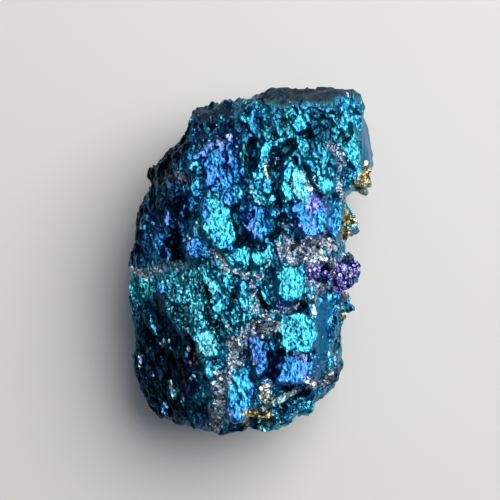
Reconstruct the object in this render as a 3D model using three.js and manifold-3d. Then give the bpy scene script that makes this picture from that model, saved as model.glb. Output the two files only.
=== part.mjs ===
// Peacock ore: one broken lump of tarnished copper iron sulphide, about 33 mm long, 24 mm wide and 16 mm thick.
// Millimetres, +Z up. It lies on a small flat spot whose middle is the origin, with its length along Y.
// The lump is a rounded block whose faces have broken away: a plan outline, a bulging wall, the broken faces,
// one ledge and the rough relief are one distance function, and each vertex is found on it along its own ray.
// Crystal grains are then joined on, cracks are cut in, and the underside is cut flat.
import * as THREE from "three";
import { ImprovedNoise } from "three/addons/math/ImprovedNoise.js";
import { mergeVertices } from "three/addons/utils/BufferGeometryUtils.js";
import Module from "manifold-3d";

// ---- Driving dimensions ----
const thickness = 16; // from the flat spot to the highest plate
const waistHeight = 7; // where the lump is widest
const edgeRounding = 0.6; // how softly two broken faces meet
const grainLean = 12; // degrees that the furrows lean from +Y towards -X
const grainStretch = 2.4; // how much longer than wide a furrow or facet is

// The wall between crown and underside: 2 is an ellipse, and more is straighter. Its curve would close
// this far above the crown and below the flat spot, if they weren't broken away.
const wall = { squareness: 3.2, closesAbove: 3, closesBelow: 1.5, slope: 10, rough: 0.7 };

// The relief's parts. "height" is the usual one, taken off first so that the lump keeps its size.
const relief = {
  height: 0.3,
  swell: { height: 0.45, across: 5, along: 6 },
  furrow: { height: 0.4, width: 2.1, sharpness: 1.6 },
  facet: { size: 1.8, slope: 0.6, joint: 0.16 },
  plateEdge: 1.25, // where a plate's sloping foot ends, and how wide the foot is, in half widths
  plateFoot: 0.35,
  crownFrom: 9, // plates and seams fade in between these two heights
  crownTo: 12,
};

// How finely the surface is drawn: rows of triangles on each face of the starting icosahedron, the rays that
// carry its vertices out to the surface, and the steps in which a ray is searched.
const drawing = {
  rows: 18,
  centre: new THREE.Vector3(0, 0, 8.8),
  spread: new THREE.Vector3(0.75, 1, 0.54),
  reach: 24,
  step: 0.25,
  halvings: 12,
};

// The outline seen from above, anticlockwise from the right waist.
const planOutline = [
  // right side, above the waist: a bite below the upper corner
  [8.7, 1.6], [9.3, 4.4], [9.0, 6.1], [11.7, 7.9], [12.2, 9.7], [11.2, 12.6], [10.4, 14.9],
  // upper end, broken nearly straight
  [9.3, 16.2], [3.2, 16.2], [-0.3, 15.4], [-5.6, 14.6],
  // upper left, broken in two steps
  [-6.0, 12.6], [-7.6, 11.0], [-9.4, 8.8],
  // left side, a long gentle bow
  [-10.7, 5.4], [-11.5, 0.0], [-11.7, -4.2], [-11.3, -9.6], [-10.4, -13.4], [-9.4, -15.1],
  // lower end
  [-7.8, -15.8], [-5.2, -16.1], [-3.6, -16.3], [1.4, -15.9], [3.9, -15.0], [5.5, -14.4],
  // lower right
  [7.4, -12.5], [8.2, -10.4], [8.5, -7.8], [8.9, -4.9], [8.8, -1.2],
].map(([x, y]) => new THREE.Vector2(x, y));

// Broken faces: a point on each, the way that it faces in plan, in degrees from +X towards +Y, and its
// rise, the elevation of its normal. "rough" is how much of the relief it keeps.
const brokenFaces = [
  { name: "crown", at: [0.5, 0.5, 15.5], faces: 60, rise: 88, rough: 1 },
  { name: "crown, upper end", at: [2, 9.5, 14.9], faces: 82, rise: 79, rough: 0.9 },
  { name: "crown, lower end", at: [1.5, -10.5, 14.6], faces: -75, rise: 78, rough: 0.9 },
  { name: "crown, right side", at: [6.6, -3, 14.9], faces: 4, rise: 71, rough: 0.9 },
  { name: "left shoulder", at: [-6.6, 2.6, 14.3], faces: 172, rise: 60, rough: 1 },
  { name: "upper left shoulder", at: [-6.4, 9.2, 13.4], faces: 141, rise: 52, rough: 0.8 },
  { name: "lower left flank", at: [-6.3, -8.6, 12.6], faces: 193, rise: 50, rough: 0.8 },
  { name: "lower left heel", at: [-8.0, -13.8, 9.8], faces: 226, rise: 38, rough: 0.8 },
  { name: "upper end bevel", at: [2.5, 14.9, 13.0], faces: 95, rise: 30, rough: 0.25 },
  { name: "upper left bevel", at: [-5.4, 13.2, 11.7], faces: 122, rise: 40, rough: 0.5 },
  { name: "upper right band", at: [10.7, 11.2, 12.3], faces: 8, rise: 33, rough: 0.15 },
  { name: "lower right band", at: [7.5, -7.4, 13.3], faces: -2, rise: 52, rough: 0.1 },
  { name: "lower right corner", at: [6.6, -12.6, 10.5], faces: -42, rise: 28, rough: 0.7 },
  { name: "underside, left", at: [-8.8, -1, 3.2], faces: 176, rise: -52, rough: 0.7 },
  { name: "underside, right", at: [8.0, 0, 3.4], faces: -6, rise: -50, rough: 0.7 },
  { name: "underside, upper end", at: [0, 13.9, 3.8], faces: 84, rise: -53, rough: 0.7 },
  { name: "underside, lower end", at: [-1, -13.2, 4.0], faces: -96, rise: -54, rough: 0.7 },
  { name: "underside, upper slope", at: [1, 7.5, 0.9], faces: 70, rise: -77, rough: 0.6 },
  { name: "underside, lower slope", at: [-1, -7.5, 1.0], faces: -100, rise: -76, rough: 0.6 },
  { name: "underside, middle", at: [0, 0, -0.8], faces: 150, rise: -87, rough: 0.2 },
];

// The ledge along the lower end: all that is above its floor and beyond its riser is gone.
const ledge = {
  riserAt: [2.6, -13.2],
  riserFaces: -62,
  riserSlope: 72,
  floor: 10.4,
  floorDip: 12,
  rounding: 0.4,
};

// Raised plates on the crown: middle, length along the grain, width, and height above their surroundings.
const plates = [
  { name: "great plate", at: [-2.8, 3.9], long: 3.9, wide: 2.3, high: 0.6, lean: 22 },
  { name: "left plate", at: [-5.7, 1.1], long: 2.2, wide: 1.6, high: 0.45, lean: 8 },
  { name: "upper plate", at: [3.9, 7.2], long: 3.8, wide: 1.7, high: 0.55, lean: 10 },
  { name: "silky plate", at: [5.9, 4.6], long: 3.8, wide: 2.9, high: 0.5, lean: 14 },
  { name: "corner plate", at: [9.4, 10.6], long: 4.4, wide: 1.5, high: 0.4, lean: 6 },
  { name: "middle plate", at: [3.7, -2.3], long: 3.0, wide: 2.8, high: 0.5, lean: -10 },
  { name: "lower plate", at: [4.1, -7.4], long: 4.2, wide: 2.6, high: 0.55, lean: 12 },
  { name: "blue plate", at: [4.6, -10.7], long: 2.6, wide: 3.0, high: 0.35, lean: 0 },
  { name: "tongue plate", at: [-0.9, -12.7], long: 5.0, wide: 2.9, high: 0.5, lean: 4 },
  { name: "streaked plate", at: [-0.8, -4.2], long: 4.4, wide: 1.8, high: 0.45, lean: 2 },
  { name: "flank knob", at: [-4.2, -9.1], long: 2.4, wide: 2.3, high: 0.7, lean: 20 },
  { name: "flank cascade", at: [-6.3, -4.6], long: 6.4, wide: 2.8, high: 0.6, lean: 33 },
  { name: "violet plate", at: [-3.4, 9.4], long: 4.2, wide: 2.4, high: 0.4, lean: -24 },
];

// Crystal crust: seams where crumbly grains have grown across the lump, each a trough of a given width.
const seams = [
  {
    name: "cross seam",
    width: 1.5,
    depth: 0.45,
    path: [[-11.6, -0.6], [-8, -0.7], [-4.4, 0.2], [-0.8, -1.1], [2.4, 0.4], [5.0, 1.4], [8.6, 2.1]],
  },
  {
    name: "down seam",
    width: 1.4,
    depth: 0.4,
    path: [[1.0, -1.0], [1.9, -4.0], [-0.6, -6.8], [-2.6, -9.8], [-4.2, -13.0], [-4.0, -16.0]],
  },
];
const seamEdge = 1.4; // a seam's trough starts this far out, in half widths, and is full 1 nearer in

// Cracks and pits between plates: middle of the mouth, length along the grain, width and depth.
const cracks = [
  { at: [-0.7, 4.7], long: 3.0, wide: 1.0, deep: 1.5, lean: 4 },
  { at: [2.1, 9.6], long: 3.0, wide: 1.5, deep: 1.7, lean: -6 },
  { at: [0.1, 10.2], long: 3.0, wide: 0.8, deep: 1.2, lean: 0 },
  { at: [2.7, -8.7], long: 3.2, wide: 1.1, deep: 1.5, lean: 4 },
  { at: [5.6, 7.9], long: 4.8, wide: 0.8, deep: 1.1, lean: 38 },
  { at: [-7.6, 1.4], long: 3.4, wide: 1.4, deep: 1.3, lean: -28 },
  { at: [-2.6, -6.4], long: 3.8, wide: 1.0, deep: 1.1, lean: 16 },
  { at: [6.6, -0.6], long: 2.4, wide: 1.1, deep: 1.2, lean: 20 },
  { at: [-8.8, 6.2], long: 3.0, wide: 1.1, deep: 1.0, lean: -18 },
  { at: [-8.3, -9.6], long: 4.0, wide: 1.0, deep: 1.0, lean: 10 },
];
const crackWander = 0.45; // how far a crack's edge strays, as a share of its half width

// Crystal clusters that stand proud: middle, spread of the grains each way, grain size and count.
const clusters = [
  { name: "violet cluster", at: [9.1, -0.6, 10.6], spread: [0.9, 1.5, 1.1], grain: 0.85, count: 13 },
  { name: "brass cluster, upper", at: [10.3, 7.3, 9.0], spread: [1.0, 0.8, 1.2], grain: 0.8, count: 8 },
  { name: "brass cluster, middle", at: [9.3, 3.6, 9.6], spread: [0.5, 1.1, 1.0], grain: 0.9, count: 8 },
  { name: "brass cluster, lower", at: [8.9, -3.7, 9.4], spread: [0.4, 1.0, 0.8], grain: 0.65, count: 5 },
  { name: "brass ledge", at: [1.2, -14.0, 10.8], spread: [2.2, 0.8, 0.5], grain: 0.85, count: 9 },
];
const grain = { smallest: 0.75, range: 0.6, length: 1.15, depth: 0.95, innermost: 0.6, turn: 2.4 };

// ---- Small helpers ----
const noise = new ImprovedNoise();
const radians = THREE.MathUtils.degToRad;
const { clamp, lerp, smoothstep } = THREE.MathUtils;

// A repeatable number from 0 to 1 for a whole-number cell or index.
function hash(i, j = 0, k = 0, channel = 0) {
  const mixed = Math.sin(i * 127.1 + j * 311.7 + k * 74.7 + channel * 53.3) * 43758.5453;
  return mixed - Math.floor(mixed);
}

// The larger of two distances, with their meeting edge rounded over "soft" millimetres.
function softMax(a, b, soft) {
  const blend = Math.max(soft - Math.abs(a - b), 0) / soft;
  return Math.max(a, b) + (blend * blend * soft) / 4;
}

// A plan point in the axes of something that leans from +Y towards -X: [across it, along it].
function leaning(x, y, lean) {
  const turn = radians(lean);
  return [x * Math.cos(turn) + y * Math.sin(turn), y * Math.cos(turn) - x * Math.sin(turn)];
}

// ---- The block and its broken faces, as distances that are negative inside ----
function facePlane({ at, faces, rise, rough }) {
  const level = Math.cos(radians(rise));
  const up = Math.sin(radians(rise));
  const normal = new THREE.Vector3(level * Math.cos(radians(faces)), level * Math.sin(radians(faces)), up);
  return { rough, plane: new THREE.Plane().setFromNormalAndCoplanarPoint(normal, new THREE.Vector3(...at)) };
}

const facePlanes = brokenFaces.map(facePlane);

// How far the outline lies from the middle in one direction.
function planRadius(angle) {
  const way = new THREE.Vector2(Math.cos(angle), Math.sin(angle));
  for (let i = 0; i < planOutline.length; i++) {
    const corner = planOutline[i];
    const side = planOutline[(i + 1) % planOutline.length].clone().sub(corner);
    const turn = way.cross(side);
    const reach = corner.cross(side) / turn;
    const share = corner.cross(way) / turn;
    if (reach > 0 && share >= 0 && share < 1) return reach;
  }
  return planOutline[0].length();
}

function bulgingWall(p) {
  const out = Math.hypot(p.x, p.y) / planRadius(Math.atan2(p.y, p.x));
  const half = p.z > waistHeight ? thickness - waistHeight + wall.closesAbove : waistHeight + wall.closesBelow;
  const up = Math.abs(p.z - waistHeight) / half;
  return ((out ** wall.squareness + up ** wall.squareness) ** (1 / wall.squareness) - 1) * wall.slope;
}

function ledgeCut(p) {
  const facing = radians(ledge.riserFaces);
  const slope = radians(ledge.riserSlope);
  const beyond = (p.x - ledge.riserAt[0]) * Math.cos(facing) + (p.y - ledge.riserAt[1]) * Math.sin(facing);
  const pastRiser = beyond * Math.sin(slope) + (p.z - ledge.floor) * Math.cos(slope);
  const aboveFloor = p.z - ledge.floor + beyond * Math.tan(radians(ledge.floorDip));
  return Math.min(pastRiser, aboveFloor);
}

// ---- The relief, as heights above the block ----
// Flat facets, each tilted its own way, round the middles of a jittered lattice. Two neighbours meet over
// a short slope.
function facetRelief(p) {
  const { size, slope, joint } = relief.facet;
  const [across, along] = leaning(p.x, p.y, grainLean);
  const q = [across / size, along / (size * grainStretch), p.z / size];
  const cell = q.map(Math.floor);
  let first = { gap: Infinity, height: 0 };
  let second = first;
  for (let i = -1; i <= 1; i++)
    for (let j = -1; j <= 1; j++)
      for (let k = -1; k <= 1; k++) {
        const c = [cell[0] + i, cell[1] + j, cell[2] + k];
        const off = c.map((value, axis) => q[axis] - value - hash(...c, axis + 1));
        const gap = Math.hypot(...off);
        if (gap >= second.gap) continue;
        const tilted = off.reduce((sum, value, axis) => sum + value * (hash(...c, axis + 4) * 2 - 1), 0);
        const facet = { gap, height: size * slope * tilted };
        if (gap < first.gap) [first, second] = [facet, first];
        else second = facet;
      }
  const own = smoothstep(second.gap - first.gap, 0, joint) / 2 + 0.5;
  return lerp(second.height, first.height, own);
}

// Furrows along the grain, as sharp ridges with round hollows between them.
function furrowRelief(p) {
  const { height, width, sharpness } = relief.furrow;
  const [across, along] = leaning(p.x, p.y, grainLean);
  const n = noise.noise(across / width + 11, along / (width * grainStretch), p.z / width + 3);
  return height * (0.5 - sharpness * Math.abs(n));
}

function swellRelief(p) {
  const { height, across, along } = relief.swell;
  return height * noise.noise(p.x / across, p.y / along, p.z / across + 7);
}

function plateRelief(p) {
  let raised = 0;
  for (const { at, long, wide, high, lean } of plates) {
    const [across, along] = leaning(p.x - at[0], p.y - at[1], lean);
    const out = Math.hypot(across / (wide / 2), along / (long / 2));
    raised = Math.max(raised, high * clamp((relief.plateEdge - out) / relief.plateFoot, 0, 1));
  }
  return raised;
}

function pathGap(p, path) {
  let gap = Infinity;
  for (let i = 1; i < path.length; i++) {
    const [ax, ay] = path[i - 1];
    const [dx, dy] = [path[i][0] - ax, path[i][1] - ay];
    const share = clamp(((p.x - ax) * dx + (p.y - ay) * dy) / (dx * dx + dy * dy), 0, 1);
    gap = Math.min(gap, Math.hypot(p.x - ax - share * dx, p.y - ay - share * dy));
  }
  return gap;
}

function seamRelief(p) {
  let sunk = 0;
  for (const { path, width, depth } of seams)
    sunk = Math.max(sunk, depth * clamp(seamEdge - pathGap(p, path) / (width / 2), 0, 1));
  return sunk;
}

function distance(p) {
  let gap = bulgingWall(p);
  let rough = wall.rough;
  for (const { plane, rough: faceRough } of facePlanes) {
    const toFace = plane.distanceToPoint(p);
    if (toFace > gap) rough = faceRough;
    gap = softMax(gap, toFace, edgeRounding);
  }
  gap = softMax(gap, ledgeCut(p), ledge.rounding);
  const onCrown = smoothstep(p.z, relief.crownFrom, relief.crownTo);
  const all = rough * (swellRelief(p) + furrowRelief(p) + facetRelief(p));
  return gap + relief.height - all - onCrown * (plateRelief(p) - seamRelief(p));
}

// ---- The lump ----
function bodyGeometry() {
  const start = new THREE.IcosahedronGeometry(1, drawing.rows);
  start.deleteAttribute("normal");
  start.deleteAttribute("uv");
  const geometry = mergeVertices(start, 1e-5);
  const position = geometry.getAttribute("position");
  const ray = new THREE.Vector3();
  const p = new THREE.Vector3();
  const gapAt = (reach) => distance(p.copy(ray).multiplyScalar(reach).add(drawing.centre));
  for (let i = 0; i < position.count; i++) {
    ray.fromBufferAttribute(position, i).multiply(drawing.spread).normalize();
    let inside = drawing.reach;
    while (gapAt(inside) > 0) inside -= drawing.step;
    let outside = inside + drawing.step;
    for (let halving = 0; halving < drawing.halvings; halving++) {
      const middle = (inside + outside) / 2;
      if (gapAt(middle) > 0) outside = middle;
      else inside = middle;
    }
    gapAt(inside);
    position.setXYZ(i, p.x, p.y, p.z);
  }
  return geometry;
}

const wasm = await Module();
wasm.setup();

function solidOf(geometry) {
  const bare = geometry.clone();
  bare.deleteAttribute("normal");
  bare.deleteAttribute("uv");
  const merged = mergeVertices(bare, 1e-4);
  return new wasm.Manifold(new wasm.Mesh({
    numProp: 3,
    vertProperties: merged.getAttribute("position").array,
    triVerts: new Uint32Array(merged.index.array),
  }));
}

function geometryOf(solid) {
  const mesh = solid.getMesh();
  return new THREE.BufferGeometry()
    .setAttribute("position", new THREE.BufferAttribute(mesh.vertProperties, 3))
    .setIndex(new THREE.BufferAttribute(mesh.triVerts, 1));
}

// The height of the lump's surface straight below a point over the crown.
function surfaceHeight(x, y) {
  const fineStep = drawing.step / 5;
  const p = new THREE.Vector3(x, y, thickness + 2);
  while (p.z > waistHeight && distance(p) > 0) p.z -= fineStep;
  return p.z;
}

// A crack is a long ragged pebble of empty space, half sunk in the surface.
function crackSolid({ at, long, wide, deep, lean }, index) {
  const round = new THREE.IcosahedronGeometry(1, 0).deleteAttribute("normal").deleteAttribute("uv");
  const pebble = mergeVertices(round);
  const position = pebble.getAttribute("position");
  const corner = new THREE.Vector3();
  for (let i = 0; i < position.count; i++) {
    const stray = 1 + crackWander * (2 * hash(i + 1, index + 1, 9) - 1);
    corner.fromBufferAttribute(position, i).multiplyScalar(stray);
    position.setXYZ(i, corner.x, corner.y, corner.z);
  }
  pebble.scale(wide / 2, long / 2, deep).rotateZ(radians(lean));
  return solidOf(pebble.translate(at[0], at[1], surfaceHeight(...at)));
}

// Blocky grains scattered through an ellipsoid, each turned its own way.
function clusterSolids({ at, spread, grain: usualSize, count }, index) {
  return Array.from({ length: count }, (_, i) => {
    const random = (channel) => hash(i + 1, index + 1, 5, channel);
    const size = usualSize * (grain.smallest + grain.range * random(1));
    const around = grain.turn * i + random(2);
    const up = 2 * ((i + 0.5) / count) - 1;
    const out = Math.sqrt(1 - up * up) * lerp(grain.innermost, 1, random(3));
    const offset = new THREE.Vector3(out * Math.cos(around), out * Math.sin(around), up);
    const middle = offset.multiply(new THREE.Vector3(...spread)).add(new THREE.Vector3(...at));
    const crystal = new THREE.BoxGeometry(size, size * grain.length, size * grain.depth);
    crystal.rotateX(Math.PI * random(4)).rotateY(Math.PI * random(5)).rotateZ(Math.PI * random(6));
    return solidOf(crystal.translate(middle.x, middle.y, middle.z));
  });
}

function oreSolid() {
  let solid = solidOf(bodyGeometry());
  for (const crystal of clusters.flatMap(clusterSolids)) solid = solid.add(crystal);
  for (const crack of cracks.map(crackSolid)) solid = solid.subtract(crack);
  const width = 2 * drawing.reach;
  const below = new THREE.BoxGeometry(width, width, thickness).translate(0, 0, -thickness / 2);
  // Loose crumbs and the small hollows sealed between grains are separate shells, and only the lump is kept.
  const shells = solid.subtract(solidOf(below)).decompose();
  return shells.reduce((a, b) => (b.volume() > a.volume() ? b : a));
}

const tarnish = new THREE.MeshStandardMaterial({
  color: 0x1f8fb4,
  roughness: 0.35,
  metalness: 0.9,
  flatShading: true,
});
const ore = new THREE.Mesh(geometryOf(oreSolid()), tarnish);
ore.name = "peacock_ore";

const lump = new THREE.Group();
lump.add(ore);

export default lump;
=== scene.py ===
import math
import random

import bmesh
import bpy
import numpy as np
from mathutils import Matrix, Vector
from mathutils.bvhtree import BVHTree


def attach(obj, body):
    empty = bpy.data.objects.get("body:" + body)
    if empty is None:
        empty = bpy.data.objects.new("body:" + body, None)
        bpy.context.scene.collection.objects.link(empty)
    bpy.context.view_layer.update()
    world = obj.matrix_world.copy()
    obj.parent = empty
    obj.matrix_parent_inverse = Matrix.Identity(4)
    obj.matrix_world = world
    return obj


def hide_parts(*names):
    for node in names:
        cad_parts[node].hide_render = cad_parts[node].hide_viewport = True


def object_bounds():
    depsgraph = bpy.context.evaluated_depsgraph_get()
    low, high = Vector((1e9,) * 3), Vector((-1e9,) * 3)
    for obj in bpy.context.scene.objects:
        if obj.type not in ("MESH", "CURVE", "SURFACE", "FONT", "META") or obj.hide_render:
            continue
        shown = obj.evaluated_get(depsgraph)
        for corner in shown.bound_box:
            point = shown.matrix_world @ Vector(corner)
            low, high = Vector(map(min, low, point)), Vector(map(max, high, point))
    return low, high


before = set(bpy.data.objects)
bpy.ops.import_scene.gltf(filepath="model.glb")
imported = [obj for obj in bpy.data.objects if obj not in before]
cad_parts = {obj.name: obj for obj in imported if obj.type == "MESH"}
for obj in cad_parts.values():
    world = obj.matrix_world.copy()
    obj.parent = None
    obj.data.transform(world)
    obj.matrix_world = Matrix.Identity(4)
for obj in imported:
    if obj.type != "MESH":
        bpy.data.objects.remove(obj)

mm = 0.001
cadLow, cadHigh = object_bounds()
cadBox = [list(cadLow), list(cadHigh)]
boxLow, boxHigh = np.array(cadBox) / mm
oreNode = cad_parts["peacock_ore"]
print("frame loaded, lump box in mm:", [[round(v / mm, 2) for v in corner] for corner in cadBox])

# All places are in mm as the camera sees them on the level of the waist: +X to the right, +Y up.
# Azimuths turn from +X to +Y, in degrees. A lean turns something from +Y towards -X, in degrees.

view = {
    "height": 150,  # above the waist
    "waist": 7,
    "middle": (-0.1, 1.14),
    "across": 47.6,  # how much the view takes in at the waist
    "sensor": 36,
    "clip": (5, 5000),
}
eye = (*view["middle"], view["waist"] + view["height"])


def makeCamera():
    camera = bpy.data.cameras.new("camera")
    camera.sensor_width = view["sensor"]
    camera.lens = view["sensor"] * view["height"] / view["across"]
    camera.clip_start, camera.clip_end = [distance * mm for distance in view["clip"]]
    holder = bpy.data.objects.new("camera", camera)
    holder.location = [value * mm for value in eye]
    bpy.context.scene.collection.objects.link(holder)
    bpy.context.scene.camera = holder
    print("camera set", view["height"], "mm above the lump's waist")


lights = {
    "window": dict(away=300, azimuth=42, rise=52, size=320, watts=1.15, colour=(1.0, 0.99, 0.97)),
    "fill": dict(away=320, azimuth=215, rise=30, size=160, watts=0.02, colour=(0.86, 0.93, 1.0)),
}
# the room: how bright it is in directions from away from the window (-1) to towards it (1)
roomGlow = [
    (-1.0, (0.012, 0.016, 0.026)),
    (0.0, (0.019, 0.026, 0.044)),
    (0.6, (0.15, 0.19, 0.25)),
    (0.8, (0.50, 0.52, 0.56)),
    (0.9, (0.84, 0.85, 0.87)),
    (1.0, (1.25, 1.25, 1.25)),
]


def directionOf(azimuth, rise):
    a, e = math.radians(azimuth), math.radians(rise)
    return Vector((math.cos(a) * math.cos(e), math.sin(a) * math.cos(e), math.sin(e)))


def makeLights():
    for name, light in lights.items():
        lamp = bpy.data.lights.new(name, "AREA")
        lamp.shape, lamp.size = "DISK", light["size"] * mm
        lamp.energy, lamp.color = light["watts"], light["colour"]
        holder = bpy.data.objects.new(name, lamp)
        way = directionOf(light["azimuth"], light["rise"])
        holder.location = way * light["away"] * mm
        holder.rotation_mode = "QUATERNION"
        holder.rotation_quaternion = way.to_track_quat("Z", "Y")
        bpy.context.scene.collection.objects.link(holder)
    world = bpy.data.worlds.new("studio")
    bpy.context.scene.world = world
    world.use_nodes = True
    nodes, links = world.node_tree.nodes, world.node_tree.links
    nodes["Background"].inputs["Strength"].default_value = 1.0
    coordinates = nodes.new("ShaderNodeTexCoord")
    towards = nodes.new("ShaderNodeVectorMath")
    towards.operation = "DOT_PRODUCT"
    towards.inputs[1].default_value = directionOf(lights["window"]["azimuth"], lights["window"]["rise"])
    links.new(coordinates.outputs["Generated"], towards.inputs[0])
    toShare = nodes.new("ShaderNodeMapRange")
    toShare.inputs["From Min"].default_value, toShare.inputs["From Max"].default_value = -1, 1
    links.new(towards.outputs["Value"], toShare.inputs["Value"])
    shade = nodes.new("ShaderNodeValToRGB")
    fillRamp(shade, [((at + 1) / 2, glow) for at, glow in roomGlow])
    links.new(toShare.outputs["Result"], shade.inputs["Fac"])
    links.new(shade.outputs["Color"], nodes["Background"].inputs["Color"])
    print("lights made:", ", ".join(lights))


table = {"size": 1200, "colour": (0.62, 0.605, 0.58), "rough": 0.8}


def makeTable():
    bpy.ops.mesh.primitive_plane_add(size=table["size"] * mm, location=(0, 0, 0))
    floor = bpy.context.object
    floor.name = "floor"
    material, nodes, _ = newMaterial("pale table")
    nodes["Principled BSDF"].inputs["Base Color"].default_value = (*table["colour"], 1)
    nodes["Principled BSDF"].inputs["Roughness"].default_value = table["rough"]
    floor.data.materials.append(material)
    print("table laid")


def fillRamp(node, colours):
    stops = node.color_ramp.elements
    for stop, (at, colour) in ((stops[0], colours[0]), (stops[1], colours[-1])):
        stop.position, stop.color = at, (*colour, 1)
    for at, colour in colours[1:-1]:
        stops.new(at).color = (*colour, 1)


def newMaterial(name):
    material = bpy.data.materials.new(name)
    material.use_nodes = True
    return material, material.node_tree.nodes, material.node_tree.links


finish = {
    # tarnish film, from the thinnest to the thickest
    "film": [
        (0.00, (0.50, 0.36, 0.10)),  # brass
        (0.10, (0.52, 0.20, 0.04)),  # orange
        (0.19, (0.42, 0.05, 0.05)),  # red
        (0.27, (0.30, 0.06, 0.28)),  # magenta
        (0.35, (0.20, 0.12, 0.46)),  # violet
        (0.45, (0.12, 0.18, 0.54)),  # periwinkle
        (0.55, (0.03, 0.17, 0.50)),  # royal blue
        (0.64, (0.030, 0.28, 0.56)),  # azure
        (0.73, (0.048, 0.40, 0.52)),  # cyan
        (0.78, (0.048, 0.42, 0.48)),  # greener cyan
        (0.83, (0.04, 0.36, 0.38)),  # teal
        (1.00, (0.02, 0.20, 0.13)),  # sea green
    ],
    "silver": (0.76, 0.80, 0.96),
    "gold": (0.56, 0.46, 0.22),
    # pale tint: cream crystals and grey grains, and in part a painted highlight on plates and sparks
    "pale": (0.62, 0.70, 0.68),
    "worn": (0.018, 0.055, 0.085),
    # near black: dark skin, and painted shade where the lump turns from the window and between grains
    "soot": (0.004, 0.012, 0.020),
    # navy painted shade for hollows and cracks; the dark flecks take the same colour
    "hollow": (0.001, 0.006, 0.022),
    "drift": dict(perMillimetre=5.0, reach=0.28),  # how the film wanders over short distances
    # silver grains: number to a millimetre, start level, sharpness, and the painted shade between them
    "speckle": dict(perMillimetre=4.5, level=0.40, sharp=7.0, between=0.7),
    # dark flecks in the film: how many to a millimetre, stretch, sharpness, share of clear film, depth, and
    # how much fainter they are on silver
    "flecks": dict(
        perMillimetre=3.4, stretch=(1.0, 0.45, 1.0), sharp=7.0, clear=0.87, depth=0.82, silver=0.6,
    ),
    "inHollows": 0.82,  # how dark the painted shade is in the deepest hollows
    "dull": dict(silver=0.65, worn=0.1),  # the share that each takes off the metal
    # roughness of the bare film, how uneven it is, and what worn skin and dark skin with painted shade add
    "rough": dict(film=0.22, uneven=0.14, perMillimetre=2.5, worn=0.22, soot=0.15),
    # fine relief in the material: lines along the grain, and pits between them
    "lines": dict(perMillimetre=5.0, stretch=(1.0, 0.16, 0.5)),
    "pits": dict(perMillimetre=9.0, share=0.4),
    "relief": dict(strength=0.8, height=0.05),
    # the tiniest faces: how many to a millimetre and how far they tilt, in degrees, their stretch, and how
    # much calmer smooth places are
    "faces": [(2.6, 8), (6.0, 17)],
    "faceStretch": (1.0, 0.5, 1.0),
    "calm": 0.85,
}


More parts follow.
